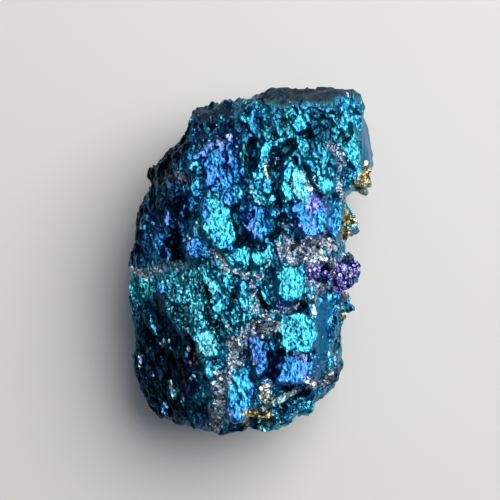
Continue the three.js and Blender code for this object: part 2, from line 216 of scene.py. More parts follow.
def tarnishMaterial():
    material, nodes, links = newMaterial("tarnished ore")
    shader = nodes["Principled BSDF"]

    def attribute(name):
        node = nodes.new("ShaderNodeAttribute")
        node.attribute_name = name
        return node.outputs["Fac"]

    def noise(perMillimetre, detail=3.0, rough=0.6, at=None):
        node = nodes.new("ShaderNodeTexNoise")
        node.inputs["Scale"].default_value = perMillimetre
        node.inputs["Detail"].default_value = detail
        node.inputs["Roughness"].default_value = rough
        links.new(place if at is None else at, node.inputs["Vector"])
        return node.outputs["Fac"]

    def number(operation, a, b, clamp=False):
        node = nodes.new("ShaderNodeMath")
        node.operation = operation
        node.use_clamp = clamp
        for socket, value in zip(node.inputs, (a, b)):
            if isinstance(value, (int, float)):
                socket.default_value = value
            else:
                links.new(value, socket)
        return node.outputs[0]

    def lessOf(value, skin, share):
        # the value, less where a skin lies
        return number("MULTIPLY", value, number("SUBTRACT", 1.0, number("MULTIPLY", attribute(skin), share)))

    def vector(operation, a, b=None):
        node = nodes.new("ShaderNodeVectorMath")
        node.operation = operation
        links.new(a, node.inputs[0])
        if isinstance(b, tuple):
            node.inputs[1].default_value = b
        elif b is not None:
            links.new(b, node.inputs[1])
        return node.outputs["Vector"]

    def mixColour(share, a, b):
        node = nodes.new("ShaderNodeMix")
        node.data_type = "RGBA"
        links.new(share, node.inputs["Factor"])
        for socket, value in ((node.inputs[6], a), (node.inputs[7], b)):
            if isinstance(value, tuple):
                socket.default_value = (*value, 1)
            else:
                links.new(value, socket)
        return node.outputs[2]

    def alongGrain(stretch):
        # the place in mm, turned to the grain and stretched
        node = nodes.new("ShaderNodeMapping")
        node.inputs["Rotation"].default_value = (0, 0, math.radians(-lump["lean"]))
        node.inputs["Scale"].default_value = stretch
        links.new(place, node.inputs["Vector"])
        return node.outputs["Vector"]

    coordinates = nodes.new("ShaderNodeTexCoord")
    inMillimetres = nodes.new("ShaderNodeMapping")
    inMillimetres.inputs["Scale"].default_value = (1 / mm,) * 3
    links.new(coordinates.outputs["Object"], inMillimetres.inputs["Vector"])
    place = inMillimetres.outputs["Vector"]

    # colour: the film first, then what lies on it
    drift = number("SUBTRACT", noise(finish["drift"]["perMillimetre"]), 0.5)
    film = number("ADD", attribute("film"), number("MULTIPLY", drift, finish["drift"]["reach"]))
    colours = nodes.new("ShaderNodeValToRGB")
    fillRamp(colours, finish["film"])
    links.new(film, colours.inputs["Fac"])
    grains = finish["speckle"]
    speckle = number("SUBTRACT", noise(grains["perMillimetre"]), grains["level"])
    speckle = number("MULTIPLY", speckle, grains["sharp"], clamp=True)
    silver = number("MULTIPLY", attribute("silver"), speckle, clamp=True)
    # painted shade between the silver grains: the seams darken under them
    between = number("MULTIPLY", attribute("silver"), grains["between"])
    colour = mixColour(between, colours.outputs["Color"], finish["soot"])
    colour = mixColour(silver, colour, finish["silver"])
    flecks = finish["flecks"]
    clear = number("SUBTRACT", noise(flecks["perMillimetre"], 4.0, 0.7, alongGrain(flecks["stretch"])), 0.5)
    clear = number("ADD", number("MULTIPLY", clear, flecks["sharp"]), flecks["clear"], clamp=True)
    dark = number("MULTIPLY", number("SUBTRACT", 1.0, clear), flecks["depth"])
    dark = lessOf(lessOf(dark, "smooth", 1.0), "silver", flecks["silver"])
    colour = mixColour(dark, colour, finish["hollow"])
    # skins: the pale tint is partly a painted highlight, the near-black one dark skin and painted shade
    for skin in ("gold", "pale", "worn", "soot"):
        colour = mixColour(attribute(skin), colour, finish[skin])
    # painted shade: navy in the hollows and the cracks
    colour = mixColour(number("MULTIPLY", attribute("hollow"), finish["inHollows"]), colour, finish["hollow"])
    links.new(colour, shader.inputs["Base Color"])

    metal = number("SUBTRACT", 1.0, number("MULTIPLY", silver, finish["dull"]["silver"]))
    wornDull = number("MULTIPLY", attribute("worn"), finish["dull"]["worn"])
    links.new(number("SUBTRACT", metal, wornDull, clamp=True), shader.inputs["Metallic"])
    uneven = number("MULTIPLY", noise(finish["rough"]["perMillimetre"]), finish["rough"]["uneven"])
    rough = number("ADD", finish["rough"]["film"], uneven)
    for skin in ("worn", "soot"):
        rough = number("ADD", rough, number("MULTIPLY", attribute(skin), finish["rough"][skin]))
    links.new(rough, shader.inputs["Roughness"])

    lines = noise(finish["lines"]["perMillimetre"], 3.0, 0.5, alongGrain(finish["lines"]["stretch"]))
    pits = number("MULTIPLY", noise(finish["pits"]["perMillimetre"], 4.0, 0.7), finish["pits"]["share"])
    bump = nodes.new("ShaderNodeBump")
    bump.inputs["Strength"].default_value = finish["relief"]["strength"]
    bump.inputs["Distance"].default_value = finish["relief"]["height"] * mm
    links.new(number("ADD", lines, pits), bump.inputs["Height"])
    normal = bump.outputs["Normal"]
    faceWay = alongGrain(finish["faceStretch"])
    for perMillimetre, tilt in finish["faces"]:
        faces = nodes.new("ShaderNodeTexVoronoi")
        faces.inputs["Scale"].default_value = perMillimetre
        links.new(faceWay, faces.inputs["Vector"])
        centred = vector("SUBTRACT", faces.outputs["Color"], (0.5, 0.5, 0.5))
        tilted = nodes.new("ShaderNodeVectorMath")
        tilted.operation = "SCALE"
        links.new(centred, tilted.inputs[0])
        steep = lessOf(2 * math.tan(math.radians(tilt)), "smooth", finish["calm"])
        links.new(steep, tilted.inputs["Scale"])
        normal = vector("ADD", normal, tilted.outputs["Vector"])
    links.new(vector("NORMALIZE", normal), shader.inputs["Normal"])
    print("tarnish mixed")
    return material


def oval(x, y, long, wide, lean, **more):
    # a patch of the surface: its place, length, width and lean, and what else it needs
    return dict(at=(x, y), long=long, wide=wide, lean=lean, **more)


lump = {
    # voxels and rounds of smoothing of the first mesh, for plates and cracks, and the second, for fine relief
    "voxels": (0.11, 0.08),
    "smoothing": (4, 1),
    "mostTriangles": 192000,
    "lean": 12,  # the grain's direction
    # mosaics of small plates that cover the rest: width, length, share that catches the window, how uneven
    # those are, how far (as a slope) the others turn away, and the groove round each
    "mosaics": {
        "broad": dict(
            wide=0.60, long=2.3, bright=0.86, even=0.15, away=(0.26, 0.60), groove=0.045, channel=400,
        ),
        "crumbs": dict(
            wide=0.46, long=0.90, bright=0.88, even=0.16, away=(0.28, 0.65), groove=0.03, channel=420,
        ),
    },
    "mostLift": 0.45,  # the furthest that they stand out or lie deep
    "inSkinAndShade": 0.85,  # how much fewer catch the window where dark skin and painted shade lie
    # where the crumbs take over from the broad ones: place, length, width, lean and strength
    "crumbs": {
        "cascade": oval(-5.4, -3.2, 8.6, 5.4, 26, strength=1),
        "below the knob": oval(-3.8, -9.8, 3.6, 2.8, 0, strength=1),
        "upper left": oval(-4.6, 11.0, 5.0, 5.0, -30, strength=1),
        "upper end": oval(4.0, 14.6, 1.6, 12.0, 0, strength=1),
        "left": oval(-9.0, 3.0, 8.0, 3.4, 8, strength=1),
        "ledge": oval(3.4, -13.8, 3.6, 7.0, -30, strength=1),
        "by the violet": oval(7.6, -1.6, 4.6, 2.6, 0, strength=1),
    },
    "under": (1.5, 1.3, 0.20),  # facets of the sides and the underside: width, stretch and slope
    # crumpled facets: width, stretch, slope, turn from the grain, what is left of them on a plate, and their
    # share in the hue
    "facets": [(0.50, 2.6, 0.20, 0, 0.75, 0.8), (0.24, 2.2, 0.21, 22, 0.6, 0.6)],
    # overlapping folds: width, height, wander, and what is left of them on a plate
    "folds": [(0.46, 0.035, 0.8, 0.4)],
    "grains": (0.31, 0.36, 0.05),  # the grains of the powdery seams: width, slope and crease
    "sinkFirst": 0.12,  # taken off everywhere, so that the relief stays in the outline
    "warp": (1.0, 0.38),  # size and reach of the wander of every patch's edge
    # the face seen from above: how far up its surface turns, its height, and how far below the top it reaches
    "face": dict(up=(-0.05, 0.25), height=(4.0, 6.0), belowTop=(-2.2, -1.2)),
    "underSkinAndShade": 0.35,  # dark skin and painted shade in patches on the sides and the underside
    # where the edges of seams and cracks fade, in half widths, and how ragged cracks are
    "fades": dict(seam=(0.5, 1.6), crack=(0.5, 1.2), ragged=0.35),
    # how soft the edges of the patches are
    "soft": dict(plates=0.14, crumbs=0.15, brass=0.3, soot=0.35, outline=0.35, tarnish=0.5),
    "flash": (19, 42),  # tilt and azimuth of the plates that catch the window
    "plateHeight": 0.22,  # how far they stand out
    "plateReach": (-1.3, 1.5),  # the furthest that their ends are pressed in or pulled out
    "wornRounds": 120,  # how many rounds of blurring wear the worn faces smooth
    "plateClean": 0.9,  # how free of dark skin and painted shade the plates are
    # how much fine relief is taken off where the lump is worn or crumbly, and added where slate skin lies
    "calmer": dict(worn=0.92, plain=0.7, crumbly=0.4, slate=0.3),
    # painted shade in hollows, near and wider ones: rounds of blurring, depths where it starts and is full,
    # how dark; and the painted shade in the cracks: how dark, and the same depths
    "hollows": [(16, 0.03, 0.16, 0.5), (70, 0.06, 0.34, 0.85)],
    "inCracks": (0.7, 0.25, 0.8),
    # film between the plates: the usual, what it gains where it is bright (a painted highlight
    # hue where the small plates catch the window) and with a facet's own number, how it wanders
    # (reach and width), and how it wanders besides on the sides and the underside
    "film": dict(usual=0.60, bright=0.10, own=0.08, wander=[(0.06, 3.0), (0.04, 0.8)], away=(0.14, 2.6)),
    "streaks": dict(wide=0.35, long=1.8, reach=0.05),
    # painted shade on facets that lean away, on plates that turn away, and between the grains of a seam
    "dim": dict(facets=0.6, plates=0.7, grains=0.9),
    # Plates. Place, length, width, lean and film, and where they differ from the usual: high, tilt, pale
    # (partly a painted highlight) and power. Those that lie over another plate bring just film and paleness.
    "plates": {
        "edge spark": oval(-2.2, 14.8, 1.3, 0.6, 60, film=0.72),
        "upper spark": oval(-0.7, 13.6, 1.1, 0.8, 30, film=0.73),
        "lilac fleck": oval(-2.0, 11.9, 1.1, 0.9, 0, film=0.45, pale=0.2),
        "lilac fleck, left": oval(-3.2, 11.4, 0.8, 0.7, -20, film=0.45, pale=0.2),
        "blue slope": oval(-4.4, 10.4, 2.6, 1.0, -42, film=0.52),
        "blue column": oval(-2.0, 10.2, 2.4, 0.8, 6, film=0.56),
        "violet crossbar": oval(-2.8, 9.2, 1.7, 0.5, 66, film=0.49, over=True),
        "lower blue": oval(-4.0, 8.1, 2.6, 1.2, -4, film=0.53),
        "left cyan": oval(-5.4, 7.6, 1.5, 0.9, -20, film=0.73),
        "shoulder cyan": oval(-5.2, 8.9, 1.4, 0.7, 20, film=0.745),
        "teal slab": oval(-0.6, 10.3, 2.4, 0.9, 4, film=0.77, tilt=7),
        "slab tip": oval(-0.7, 8.7, 1.0, 0.6, 0, film=0.60),
        "arc": oval(1.35, 10.1, 3.2, 0.95, -14, film=0.71, high=0.5),
        "arch": oval(2.6, 11.3, 1.7, 0.5, -76, film=0.66, high=0.4),
        "top spark": oval(2.0, 15.0, 1.2, 0.7, -40, film=0.725),
        "north plate": oval(4.6, 13.1, 2.3, 1.1, 4, film=0.69),
        "below the bevel": oval(6.4, 14.8, 3.8, 0.8, 90, film=0.66, tilt=13),
        "east plate": oval(9.1, 13.1, 2.1, 1.0, -12, film=0.69),
        "corner": oval(9.8, 10.9, 4.4, 1.5, 6, film=0.72, high=0.3),
        "corner foot": oval(10.0, 8.5, 2.2, 1.8, -20, film=0.67, tilt=15),
        "inner step": oval(4.7, 10.9, 1.9, 1.2, 10, film=0.725, tilt=14),
        "small step": oval(7.0, 9.3, 1.8, 0.7, 12, film=0.71),
        "middle step": oval(5.5, 9.2, 1.4, 0.8, 5, film=0.70),
        "upper lip": oval(6.2, 10.15, 1.0, 0.5, 62, film=0.73),
        "centre": oval(4.6, 7.3, 3.8, 1.5, 8, film=0.73, high=0.3, pale=0.12),
        "above the centre": oval(3.6, 8.9, 1.4, 1.0, -60, film=0.69),
        "left of the centre": oval(3.4, 6.7, 2.6, 0.9, 0, film=0.74, tilt=14),
        "east shelf": oval(7.0, 7.6, 2.6, 1.3, 58, film=0.71),
        "blue sliver": oval(1.7, 7.3, 2.0, 0.9, 6, film=0.65, tilt=14),
        "pale plate": oval(0.5, 6.1, 1.8, 1.3, 40, film=0.77, pale=0.14),
        "fork": oval(1.8, 6.0, 1.9, 0.5, -20, film=0.73),
        "great": oval(-3.05, 3.7, 5.5, 3.2, 16, film=0.71, tilt=17, high=0.2, power=3),
        "great, left edge": oval(-4.2, 4.8, 2.8, 0.8, 8, film=0.52, over=True),
        "great, lower streak": oval(-3.2, 2.6, 2.0, 0.45, 34, film=0.60, over=True),
        "great, foot": oval(-2.2, 1.4, 1.2, 0.7, 30, film=0.56, over=True),
        "great shoulder": oval(-2.1, 5.8, 1.8, 1.0, 10, film=0.57, tilt=15),
        "west plate": oval(-5.5, 1.1, 2.3, 1.3, 8, film=0.56),
        "west sliver": oval(-4.4, 1.2, 1.7, 0.7, 15, film=0.60, tilt=14),
        "blue blade": oval(-7.9, 0.5, 1.9, 0.7, 0, film=0.60),
        "violet blade": oval(-7.85, 3.9, 2.1, 0.5, 0, film=0.49),
        "slant blade": oval(-6.4, 4.6, 1.5, 0.55, -16, film=0.49),
        "outer blade": oval(-10.3, 3.5, 1.0, 0.5, -30, film=0.68),
        "azure step": oval(-5.3, 6.5, 1.1, 0.9, -50, film=0.64),
        "azure tail": oval(-5.7, 5.8, 1.1, 0.5, 0, film=0.66),
        "silky": oval(5.8, 4.3, 4.2, 3.2, 20, film=0.55, tilt=16, power=3),
        "silky, right": oval(6.9, 3.8, 2.6, 0.7, 20, film=0.63, over=True),
        "silky, middle": oval(5.7, 4.6, 2.6, 0.5, 24, film=0.47, over=True),
        "silky streak": oval(4.5, 3.4, 2.6, 1.0, 16, film=0.47, over=True),
        "silky top": oval(5.8, 5.8, 1.4, 1.6, 60, film=0.42, over=True),
        "east column": oval(8.2, 3.5, 3.4, 1.2, 0, film=0.63),
        "blue pair": oval(0.55, 3.7, 3.6, 1.8, 4, film=0.58, tilt=16, power=3),
        "blue pair, left": oval(-0.1, 3.2, 2.4, 0.9, 4, film=0.51, over=True),
        "step below": oval(-0.9, 0.5, 1.9, 1.5, -10, film=0.725, power=3),
        "step below, right": oval(0.8, 0.5, 1.4, 1.6, 30, film=0.72, power=3),
        "step below, left": oval(-1.9, 0.0, 1.2, 0.7, 20, film=0.725),
        "step tip": oval(1.5, -0.1, 1.1, 0.6, 0, film=0.725, pale=0.35),
        "blue nugget": oval(-8.5, -2.3, 1.3, 0.8, 12, film=0.60),
        "column": oval(-0.6, -3.2, 3.4, 0.9, 6, film=0.68),
        "column foot": oval(-1.6, -5.1, 1.5, 0.6, 14, film=0.725),
        "column foot, right": oval(-0.8, -5.3, 1.6, 0.7, -10, film=0.73),
        "white sliver": oval(-3.5, -2.5, 1.6, 0.7, -10, film=0.725, pale=0.35),
        "sliver mate": oval(-2.4, -1.9, 1.8, 0.6, 10, film=0.73),
        "cyan block": oval(-3.2, -4.4, 1.1, 1.1, 0, film=0.73),
        "azure chip": oval(1.3, -3.4, 1.1, 0.8, 0, film=0.66),
        "middle": oval(3.8, -2.1, 3.7, 2.6, 14, film=0.74, high=0.3, power=3),
        "middle foot": oval(3.9, -3.6, 1.0, 1.9, 0, film=0.66, tilt=15, over=True),
        "dusky patch": oval(2.8, -4.2, 0.9, 1.5, -20, film=0.50, tilt=4),
        "lower": oval(4.3, -6.8, 4.2, 4.0, 8, film=0.72, high=0.3, power=3),
        "lower edge": oval(5.7, -8.0, 3.6, 0.8, 0, film=0.70),
        "white spot": oval(6.2, -4.5, 1.4, 0.7, 0, film=0.74, pale=0.6),
        "royal": oval(4.15, -9.95, 3.1, 4.4, 4, film=0.56, tilt=18, high=0.35, power=3),
        "royal spot": oval(4.8, -9.1, 0.6, 1.1, -60, film=0.50, pale=0.3, over=True),
        "blue streaks": oval(5.4, -10.6, 1.8, 0.9, 0, film=0.53, over=True),
        "royal, right edge": oval(5.9, -9.2, 2.8, 0.7, 4, film=0.69, over=True),
        "blue columns": oval(0.7, -9.0, 3.8, 1.6, 6, film=0.57, tilt=20, power=3),
        "blue columns, left": oval(0.2, -9.0, 3.4, 0.5, 6, film=0.48, over=True),
        "violet spot": oval(1.8, -11.6, 0.8, 0.6, 30, film=0.44),
        "tongue": oval(-1.1, -12.4, 6.0, 2.6, -4, film=0.63, tilt=10, high=0.3),
        "tongue left": oval(-2.0, -11.4, 2.6, 0.7, -6, film=0.75, over=True),
        "tongue right": oval(0.1, -12.2, 3.0, 0.6, 2, film=0.53, over=True),
        "tongue foot": oval(-1.6, -14.2, 1.7, 1.1, 10, film=0.58, over=True),
        "tongue top": oval(-1.2, -9.9, 0.9, 1.2, 0, film=0.74, over=True),
        "tongue middle": oval(-0.9, -12.0, 1.9, 0.9, 10, film=0.68, over=True),
        "knob": oval(-4.3, -7.8, 2.9, 2.5, 20, film=0.75, high=0.6, pale=0.08),
        "below the knob": oval(-3.8, -10.2, 1.4, 1.4, -20, film=0.72, tilt=14),
        "ledge plate": oval(3.6, -13.8, 0.9, 0.7, 10, film=0.68),
        "ledge blue": oval(2.5, -14.8, 1.1, 0.8, 0, film=0.63, tilt=14),
        "ledge teal": oval(1.4, -15.8, 0.8, 1.5, -20, film=0.77, tilt=13),
        "ledge right": oval(5.3, -13.6, 0.8, 1.5, -14, film=0.73, tilt=15),
    },
    # Open cracks and pits: the path of the mouth, width and depth
    "cracks": {
        "slot by the great plate": dict(path=[(-1.5, 5.0), (-1.2, 3.8), (-0.8, 2.2)], wide=0.95, deep=1.2),
        "upper slot": dict(path=[(0.3, 11.6), (0.0, 10.2), (-0.1, 8.6)], wide=0.6, deep=0.9),
        "arched hollow": dict(path=[(2.2, 8.4), (2.4, 9.6), (2.9, 10.4), (3.5, 10.8)], wide=1.0, deep=1.2),
        "slanting crack": dict(path=[(3.9, 9.7), (4.9, 8.8), (5.5, 7.8), (6.7, 6.5)], wide=0.42, deep=0.8),
        "north recess": dict(path=[(5.5, 12.2), (6.4, 12.8), (7.2, 13.3)], wide=1.1, deep=0.5),
        "notch by the corner": dict(path=[(9.9, 12.8), (9.4, 12.0), (9.0, 11.4)], wide=0.35, deep=0.6),
        "left of the arc": dict(path=[(0.4, 9.6), (0.3, 8.8)], wide=0.5, deep=0.7),
        "between the teal steps": dict(path=[(2.4, 7.9), (2.6, 6.4), (2.4, 5.2)], wide=0.7, deep=0.8),
        "slot by the blue patch": dict(path=[(2.4, -6.6), (2.5, -8.0)], wide=0.4, deep=0.8),
        "lower slot": dict(path=[(2.0, -8.9), (2.0, -9.8), (2.1, -10.8)], wide=0.66, deep=1.2),
        "crossing crack": dict(path=[(-0.2, 1.5), (0.5, 1.5), (1.1, 1.4)], wide=0.45, deep=0.7),
        "dark by the silky plate": dict(path=[(3.1, 4.2), (2.4, 3.0), (2.1, 2.0)], wide=0.9, deep=1.0),
        "small square pit": dict(path=[(0.0, 4.8), (0.0, 4.1)], wide=0.45, deep=0.7),
        "bay": dict(path=[(-7.0, 2.3), (-7.1, 1.0), (-6.6, 0.2)], wide=1.0, deep=0.9),
        "bay, upper": dict(path=[(-6.9, 6.0), (-7.0, 4.6), (-5.6, 4.6)], wide=0.8, deep=0.7),
        "under the knob": dict(path=[(-5.9, -7.2), (-5.8, -8.6), (-5.2, -10.0)], wide=0.8, deep=0.8),
        "flank slot": dict(path=[(-3.2, -5.6), (-2.9, -7.2)], wide=0.6, deep=0.8),
        "left of the column": dict(path=[(-1.5, -1.3), (-1.5, -2.6), (-2.3, -4.4)], wide=0.5, deep=0.7),
        "between the slivers": dict(path=[(-4.4, -2.6), (-4.2, -4.6), (-3.8, -5.6)], wide=0.5, deep=0.7),
        "by the azure chip": dict(path=[(0.7, -2.6), (0.9, -4.0), (1.6, -4.5)], wide=0.55, deep=0.8),
        "crack under the middle": dict(path=[(3.6, -4.9), (4.4, -4.6), (5.2, -4.1)], wide=0.4, deep=0.8),
        "pit in the grains": dict(path=[(4.6, 0.0), (5.0, 0.9)], wide=0.7, deep=0.7),
        "pit by the violet": dict(path=[(6.7, -1.8), (7.0, -1.9)], wide=0.6, deep=0.7),
        "pit by the violet, right": dict(path=[(7.2, 0.4), (7.4, -0.6)], wide=0.6, deep=0.7),
        "pit below the violet": dict(path=[(7.8, -1.9), (7.9, -2.7)], wide=0.5, deep=0.7),
        "ledge shadow": dict(path=[(3.4, -11.8), (4.2, -12.3), (5.4, -12.3)], wide=0.7, deep=0.8),
        "ledge gap": dict(path=[(3.0, -14.4), (3.1, -13.6)], wide=0.6, deep=0.7),
        "by the smooth side": dict(path=[(6.1, -8.2), (6.3, -9.0)], wide=0.3, deep=0.5),
    },
    # Powdery seams: path, width and strength
    "seams": {
        "left": dict(
            path=[(-11.4, -0.8), (-9.6, -0.9), (-8.4, -0.5), (-6.6, -0.3)], wide=0.78, strength=0.9,
        ),
        "middle": dict(path=[(-3.6, 0.9), (-2.9, 0.1), (-2.4, -0.7)], wide=0.70, strength=0.9),
        "below the steps": dict(path=[(-1.4, -0.9), (-0.4, -1.2), (0.9, -1.3)], wide=0.61, strength=1),
        "right": dict(path=[(3.0, 1.3), (4.4, 1.4), (6.2, 1.9), (7.8, 1.7)], wide=1.13, strength=1),
        "right, lower": dict(path=[(3.2, 0.4), (5.2, 0.6), (6.4, 0.0), (7.9, 0.2)], wide=0.96, strength=0.8),
        "down": dict(path=[(0.1, -1.6), (0.4, -3.4), (0.5, -4.8), (1.4, -5.0)], wide=0.48, strength=0.9),
        "to the right": dict(
            path=[(1.6, -5.4), (2.6, -5.1), (3.6, -4.6), (4.6, -4.2)], wide=0.43, strength=0.9,
        ),
        "lower knot": dict(path=[(2.2, -6.2), (1.0, -6.2), (-0.3, -6.7)], wide=0.96, strength=1),
        "lower down": dict(
            path=[(-0.3, -6.7), (-1.2, -8.0), (-1.9, -9.6), (-2.5, -11.0)], wide=0.96, strength=1,
        ),
        "foot": dict(
            path=[(-2.5, -11.0), (-3.2, -12.4), (-3.2, -14.4), (-3.6, -15.8)], wide=1.22, strength=1,
        ),
        "by the violet": dict(path=[(5.4, -1.6), (6.2, -2.4), (6.5, -3.6)], wide=0.70, strength=0.8),
        "ledge": dict(path=[(5.5, -11.8), (6.6, -11.5), (7.8, -10.4)], wide=0.70, strength=0.9),
        "lilac column": dict(
            path=[(7.7, 11.2), (8.5, 10.2), (8.5, 7.6), (8.8, 6.0)], wide=0.78, strength=0.65,
        ),
        "streaky": dict(path=[(3.3, 3.6), (3.4, 2.0)], wide=0.61, strength=0.5),
    },
    # Where the outline is moved a little: place, length, width, lean and shift
    "outline": {
        "upper end": oval(4.4, 16.4, 2.6, 8.4, 0, shift=(0, 0.5)),
        "upper left": oval(0.1, 15.3, 2.2, 2.4, 15, shift=(0, 0.5)),
        "notch in the end": oval(4.6, 16.2, 1.8, 1.0, 0, shift=(0, 0.28)),
        "spike in the end": oval(5.6, 16.7, 1.2, 1.0, 0, shift=(0, -0.3)),
        "left dip": oval(-3.1, 15.0, 1.8, 1.3, 0, shift=(0, 0.3)),
        "next dip": oval(-1.7, 15.2, 1.8, 1.1, 0, shift=(0, 0.45)),
        "left shoulder": oval(-10.4, 8.4, 3.2, 1.9, 0, shift=(0.6, 0)),
        "lower right": oval(8.4, -10.6, 3.4, 2.4, 20, shift=(0.45, -0.15)),
        "ledge tip": oval(5.5, -15.2, 1.8, 2.0, 0, shift=(-0.15, 0.5)),
    },
    # Worn smooth faces: place, length, width, lean, and how much dark slate skin is on them
    "wornFaces": {
        "upper end": oval(4.6, 16.3, 2.5, 12.0, 0, dark=1),
        "upper left corner": oval(-3.6, 14.3, 1.1, 4.6, 14, dark=0.75),
        "right": oval(11.2, 10.9, 6.0, 1.5, 6, dark=0.25),
        "lower right": oval(7.1, -7.0, 7.2, 1.4, 3, dark=0.0, power=6),
    },
    # Areas of tarnish between the plates: place, length, width, lean, film and strength
    "tarnish": {
        "smooth side": oval(7.1, -7.0, 8.4, 2.4, 3, film=0.635, strength=1),
        "right slope": oval(11.2, 10.9, 6.4, 1.8, 6, film=0.62, strength=0.9),
        "violet streaks": oval(-3.0, 9.6, 5.0, 4.0, -28, film=0.50, strength=0.9),
        "silky": oval(5.9, 4.4, 4.4, 4.2, 20, film=0.47, strength=0.8),
        "middle blue": oval(0.4, 3.8, 4.0, 2.6, 6, film=0.54, strength=0.8),
        "left blue": oval(-8.6, 2.2, 6.4, 5.6, 8, film=0.55, strength=0.9),
        "lilac grains": oval(6.0, -0.7, 1.8, 2.2, 0, film=0.41, strength=1),
        "violet cluster": oval(8.8, -1.1, 3.6, 3.2, 14, film=0.36, strength=1),
        "royal blue": oval(4.6, -10.2, 3.4, 3.8, 0, film=0.55, strength=1),
        "blue columns": oval(1.0, -9.4, 4.6, 2.2, 6, film=0.52, strength=0.9),
        "tongue": oval(-1.0, -12.6, 6.6, 3.2, -4, film=0.61, strength=0.9),
        "cascade": oval(-5.6, -3.4, 8.0, 5.4, 26, film=0.74, strength=0.8),
        "left edge green": oval(-10.2, -2.4, 3.4, 2.4, 10, film=0.81, strength=0.8),
        "north teal": oval(4.6, 12.6, 3.6, 9.0, 0, film=0.74, strength=0.7),
        "centre teal": oval(2.8, 7.0, 4.0, 3.6, 0, film=0.745, strength=0.7),
    },
    # Thinnest film, bare brass: place, length, width, lean and strength
    "brass": {
        "upper edge": oval(10.8, 7.6, 3.2, 1.5, -38, strength=1),
        "bite": oval(9.1, 3.2, 3.2, 1.2, 0, strength=1),
        "ledge": oval(0.8, -14.5, 1.1, 3.0, 0, strength=0.9),
        "cream ledge": oval(1.5, -12.6, 1.3, 1.0, 0, strength=0.8),
        "olive": oval(-7.2, 8.1, 1.0, 2.4, 0, strength=0.35),
        "olive spot": oval(5.9, -3.2, 0.7, 1.0, 0, strength=0.25),
        "olive crack": oval(6.1, 7.0, 2.4, 0.6, 48, strength=0.3),
    },
    # Dark skin and painted shade, most on the left flanks: place, length, width, lean and strength
    "soot": {
        "upper left bevel": oval(-9.0, 9.6, 9.0, 4.6, -38, strength=0.96),
        "upper left corner": oval(-4.0, 14.2, 2.4, 5.6, 14, strength=0.65),
        "left shoulder": oval(-7.2, 8.1, 1.4, 2.8, 0, strength=0.6),
        "left edge": oval(-11.2, 4.0, 9.0, 2.6, 6, strength=0.9),
        "left, upper": oval(-8.2, 5.4, 4.6, 4.0, 0, strength=0.85),
        "lower left": oval(-8.4, -10.2, 13.0, 6.2, 10, strength=0.95),
        "left, lower": oval(-9.0, -4.8, 3.4, 3.4, 0, strength=0.8),
        "bay": oval(-7.2, 1.8, 4.4, 1.8, 0, strength=0.8),
        "lower edge": oval(0.5, -16.4, 1.2, 9.0, 0, strength=0.8),
        "upper end": oval(4.0, 16.6, 2.0, 14.0, 0, strength=0.3),
        "upper end, left": oval(2.6, 16.2, 1.8, 4.2, 8, strength=0.5),
        "upper left": oval(-3.0, 12.8, 3.4, 7.0, -12, strength=0.7),
        "cascade": oval(-5.8, -3.4, 8.6, 5.0, 26, strength=0.2),
        "north": oval(6.4, 12.5, 2.6, 3.4, 0, strength=0.6),
        "upper right": oval(5.0, 12.4, 4.6, 10.0, 0, strength=0.3),
        "north, left": oval(0.6, 12.8, 1.8, 3.0, 0, strength=0.4),
    },
}


def cellHash(i, j, k, channel):
    # one number from 0 to 1 for each cell, mixed by large odd numbers; each channel is another set of them
    a = (i.astype(np.int64) * 73856093) ^ (j.astype(np.int64) * 19349663) ^ (k.astype(np.int64) * 83492791)
    a = (a + channel * 2654435761) & 0xFFFFFFFF
    a = ((a ^ (a >> 16)) * 73244475) & 0xFFFFFFFF
    a = ((a ^ (a >> 16)) * 73244475) & 0xFFFFFFFF
    a = a ^ (a >> 16)
    return a / 4294967295.0


def smoothNoise(q, channel):
    # noise from -1 to 1 at points q, which are in cells
    base = np.floor(q)
    part = q - base
    part = part * part * (3 - 2 * part)
    base = base.astype(np.int64)
    total = np.zeros(len(q))
    for corner in range(8):
        step = [(corner >> axis) & 1 for axis in range(3)]
        weight = np.ones(len(q))
        for axis in range(3):
            weight *= part[:, axis] if step[axis] else 1 - part[:, axis]
        total += weight * cellHash(base[:, 0] + step[0], base[:, 1] + step[1], base[:, 2] + step[2], channel)
    return 2 * total - 1


def leaning(p, lean):
    # plan coordinates across and along something that leans
    turn = math.radians(lean)
    across = p[:, 0] * math.cos(turn) + p[:, 1] * math.sin(turn)
    along = p[:, 1] * math.cos(turn) - p[:, 0] * math.sin(turn)
    return across, along


def ramp(x, low, high):
    t = np.clip((x - low) / (high - low), 0, 1)
    return t * t * (3 - 2 * t)


def crumple(p, size, stretch, slope, turn, channel):
    # flat facets that meet without a step, like crumpled foil: the height, and a number for each facet
    across, along = leaning(p, lump["lean"] + turn)
    q = np.stack([-across / size, along / (size * stretch), p[:, 2] / size], axis=1)
    q += 0.3 * np.stack([smoothNoise(q * 0.7, channel + axis) for axis in (1, 2, 3)], axis=1)
    corner = np.floor(q)
    part = q - corner
    corner = corner.astype(np.int64)
    order = np.argsort(-part, axis=1)
    own = cellHash(*corner.T, channel + 4 + 3 * order[:, 0] + order[:, 1])
    part = np.take_along_axis(part, order, axis=1)
    height = (1 - part[:, 0]) * cellHash(*corner.T, channel)
    for step in (0, 1, 2):
        corner[np.arange(len(p)), order[:, step]] += 1
        weight = part[:, step] - (part[:, step + 1] if step < 2 else 0)
        height += weight * cellHash(*corner.T, channel)
    return size * slope * (2 * height - 1), own


def keepNearest(new, best, second):
    # the nearest and the second nearest at each point, each as a list of arrays with the gap first
    nearest = new[0] < best[0]
    runnerUp = ~nearest & (new[0] < second[0])
    second = [np.where(nearest, b, np.where(runnerUp, n, s)) for n, b, s in zip(new, best, second)]
    best = [np.where(nearest, n, b) for n, b in zip(new, best)]
    return best, second


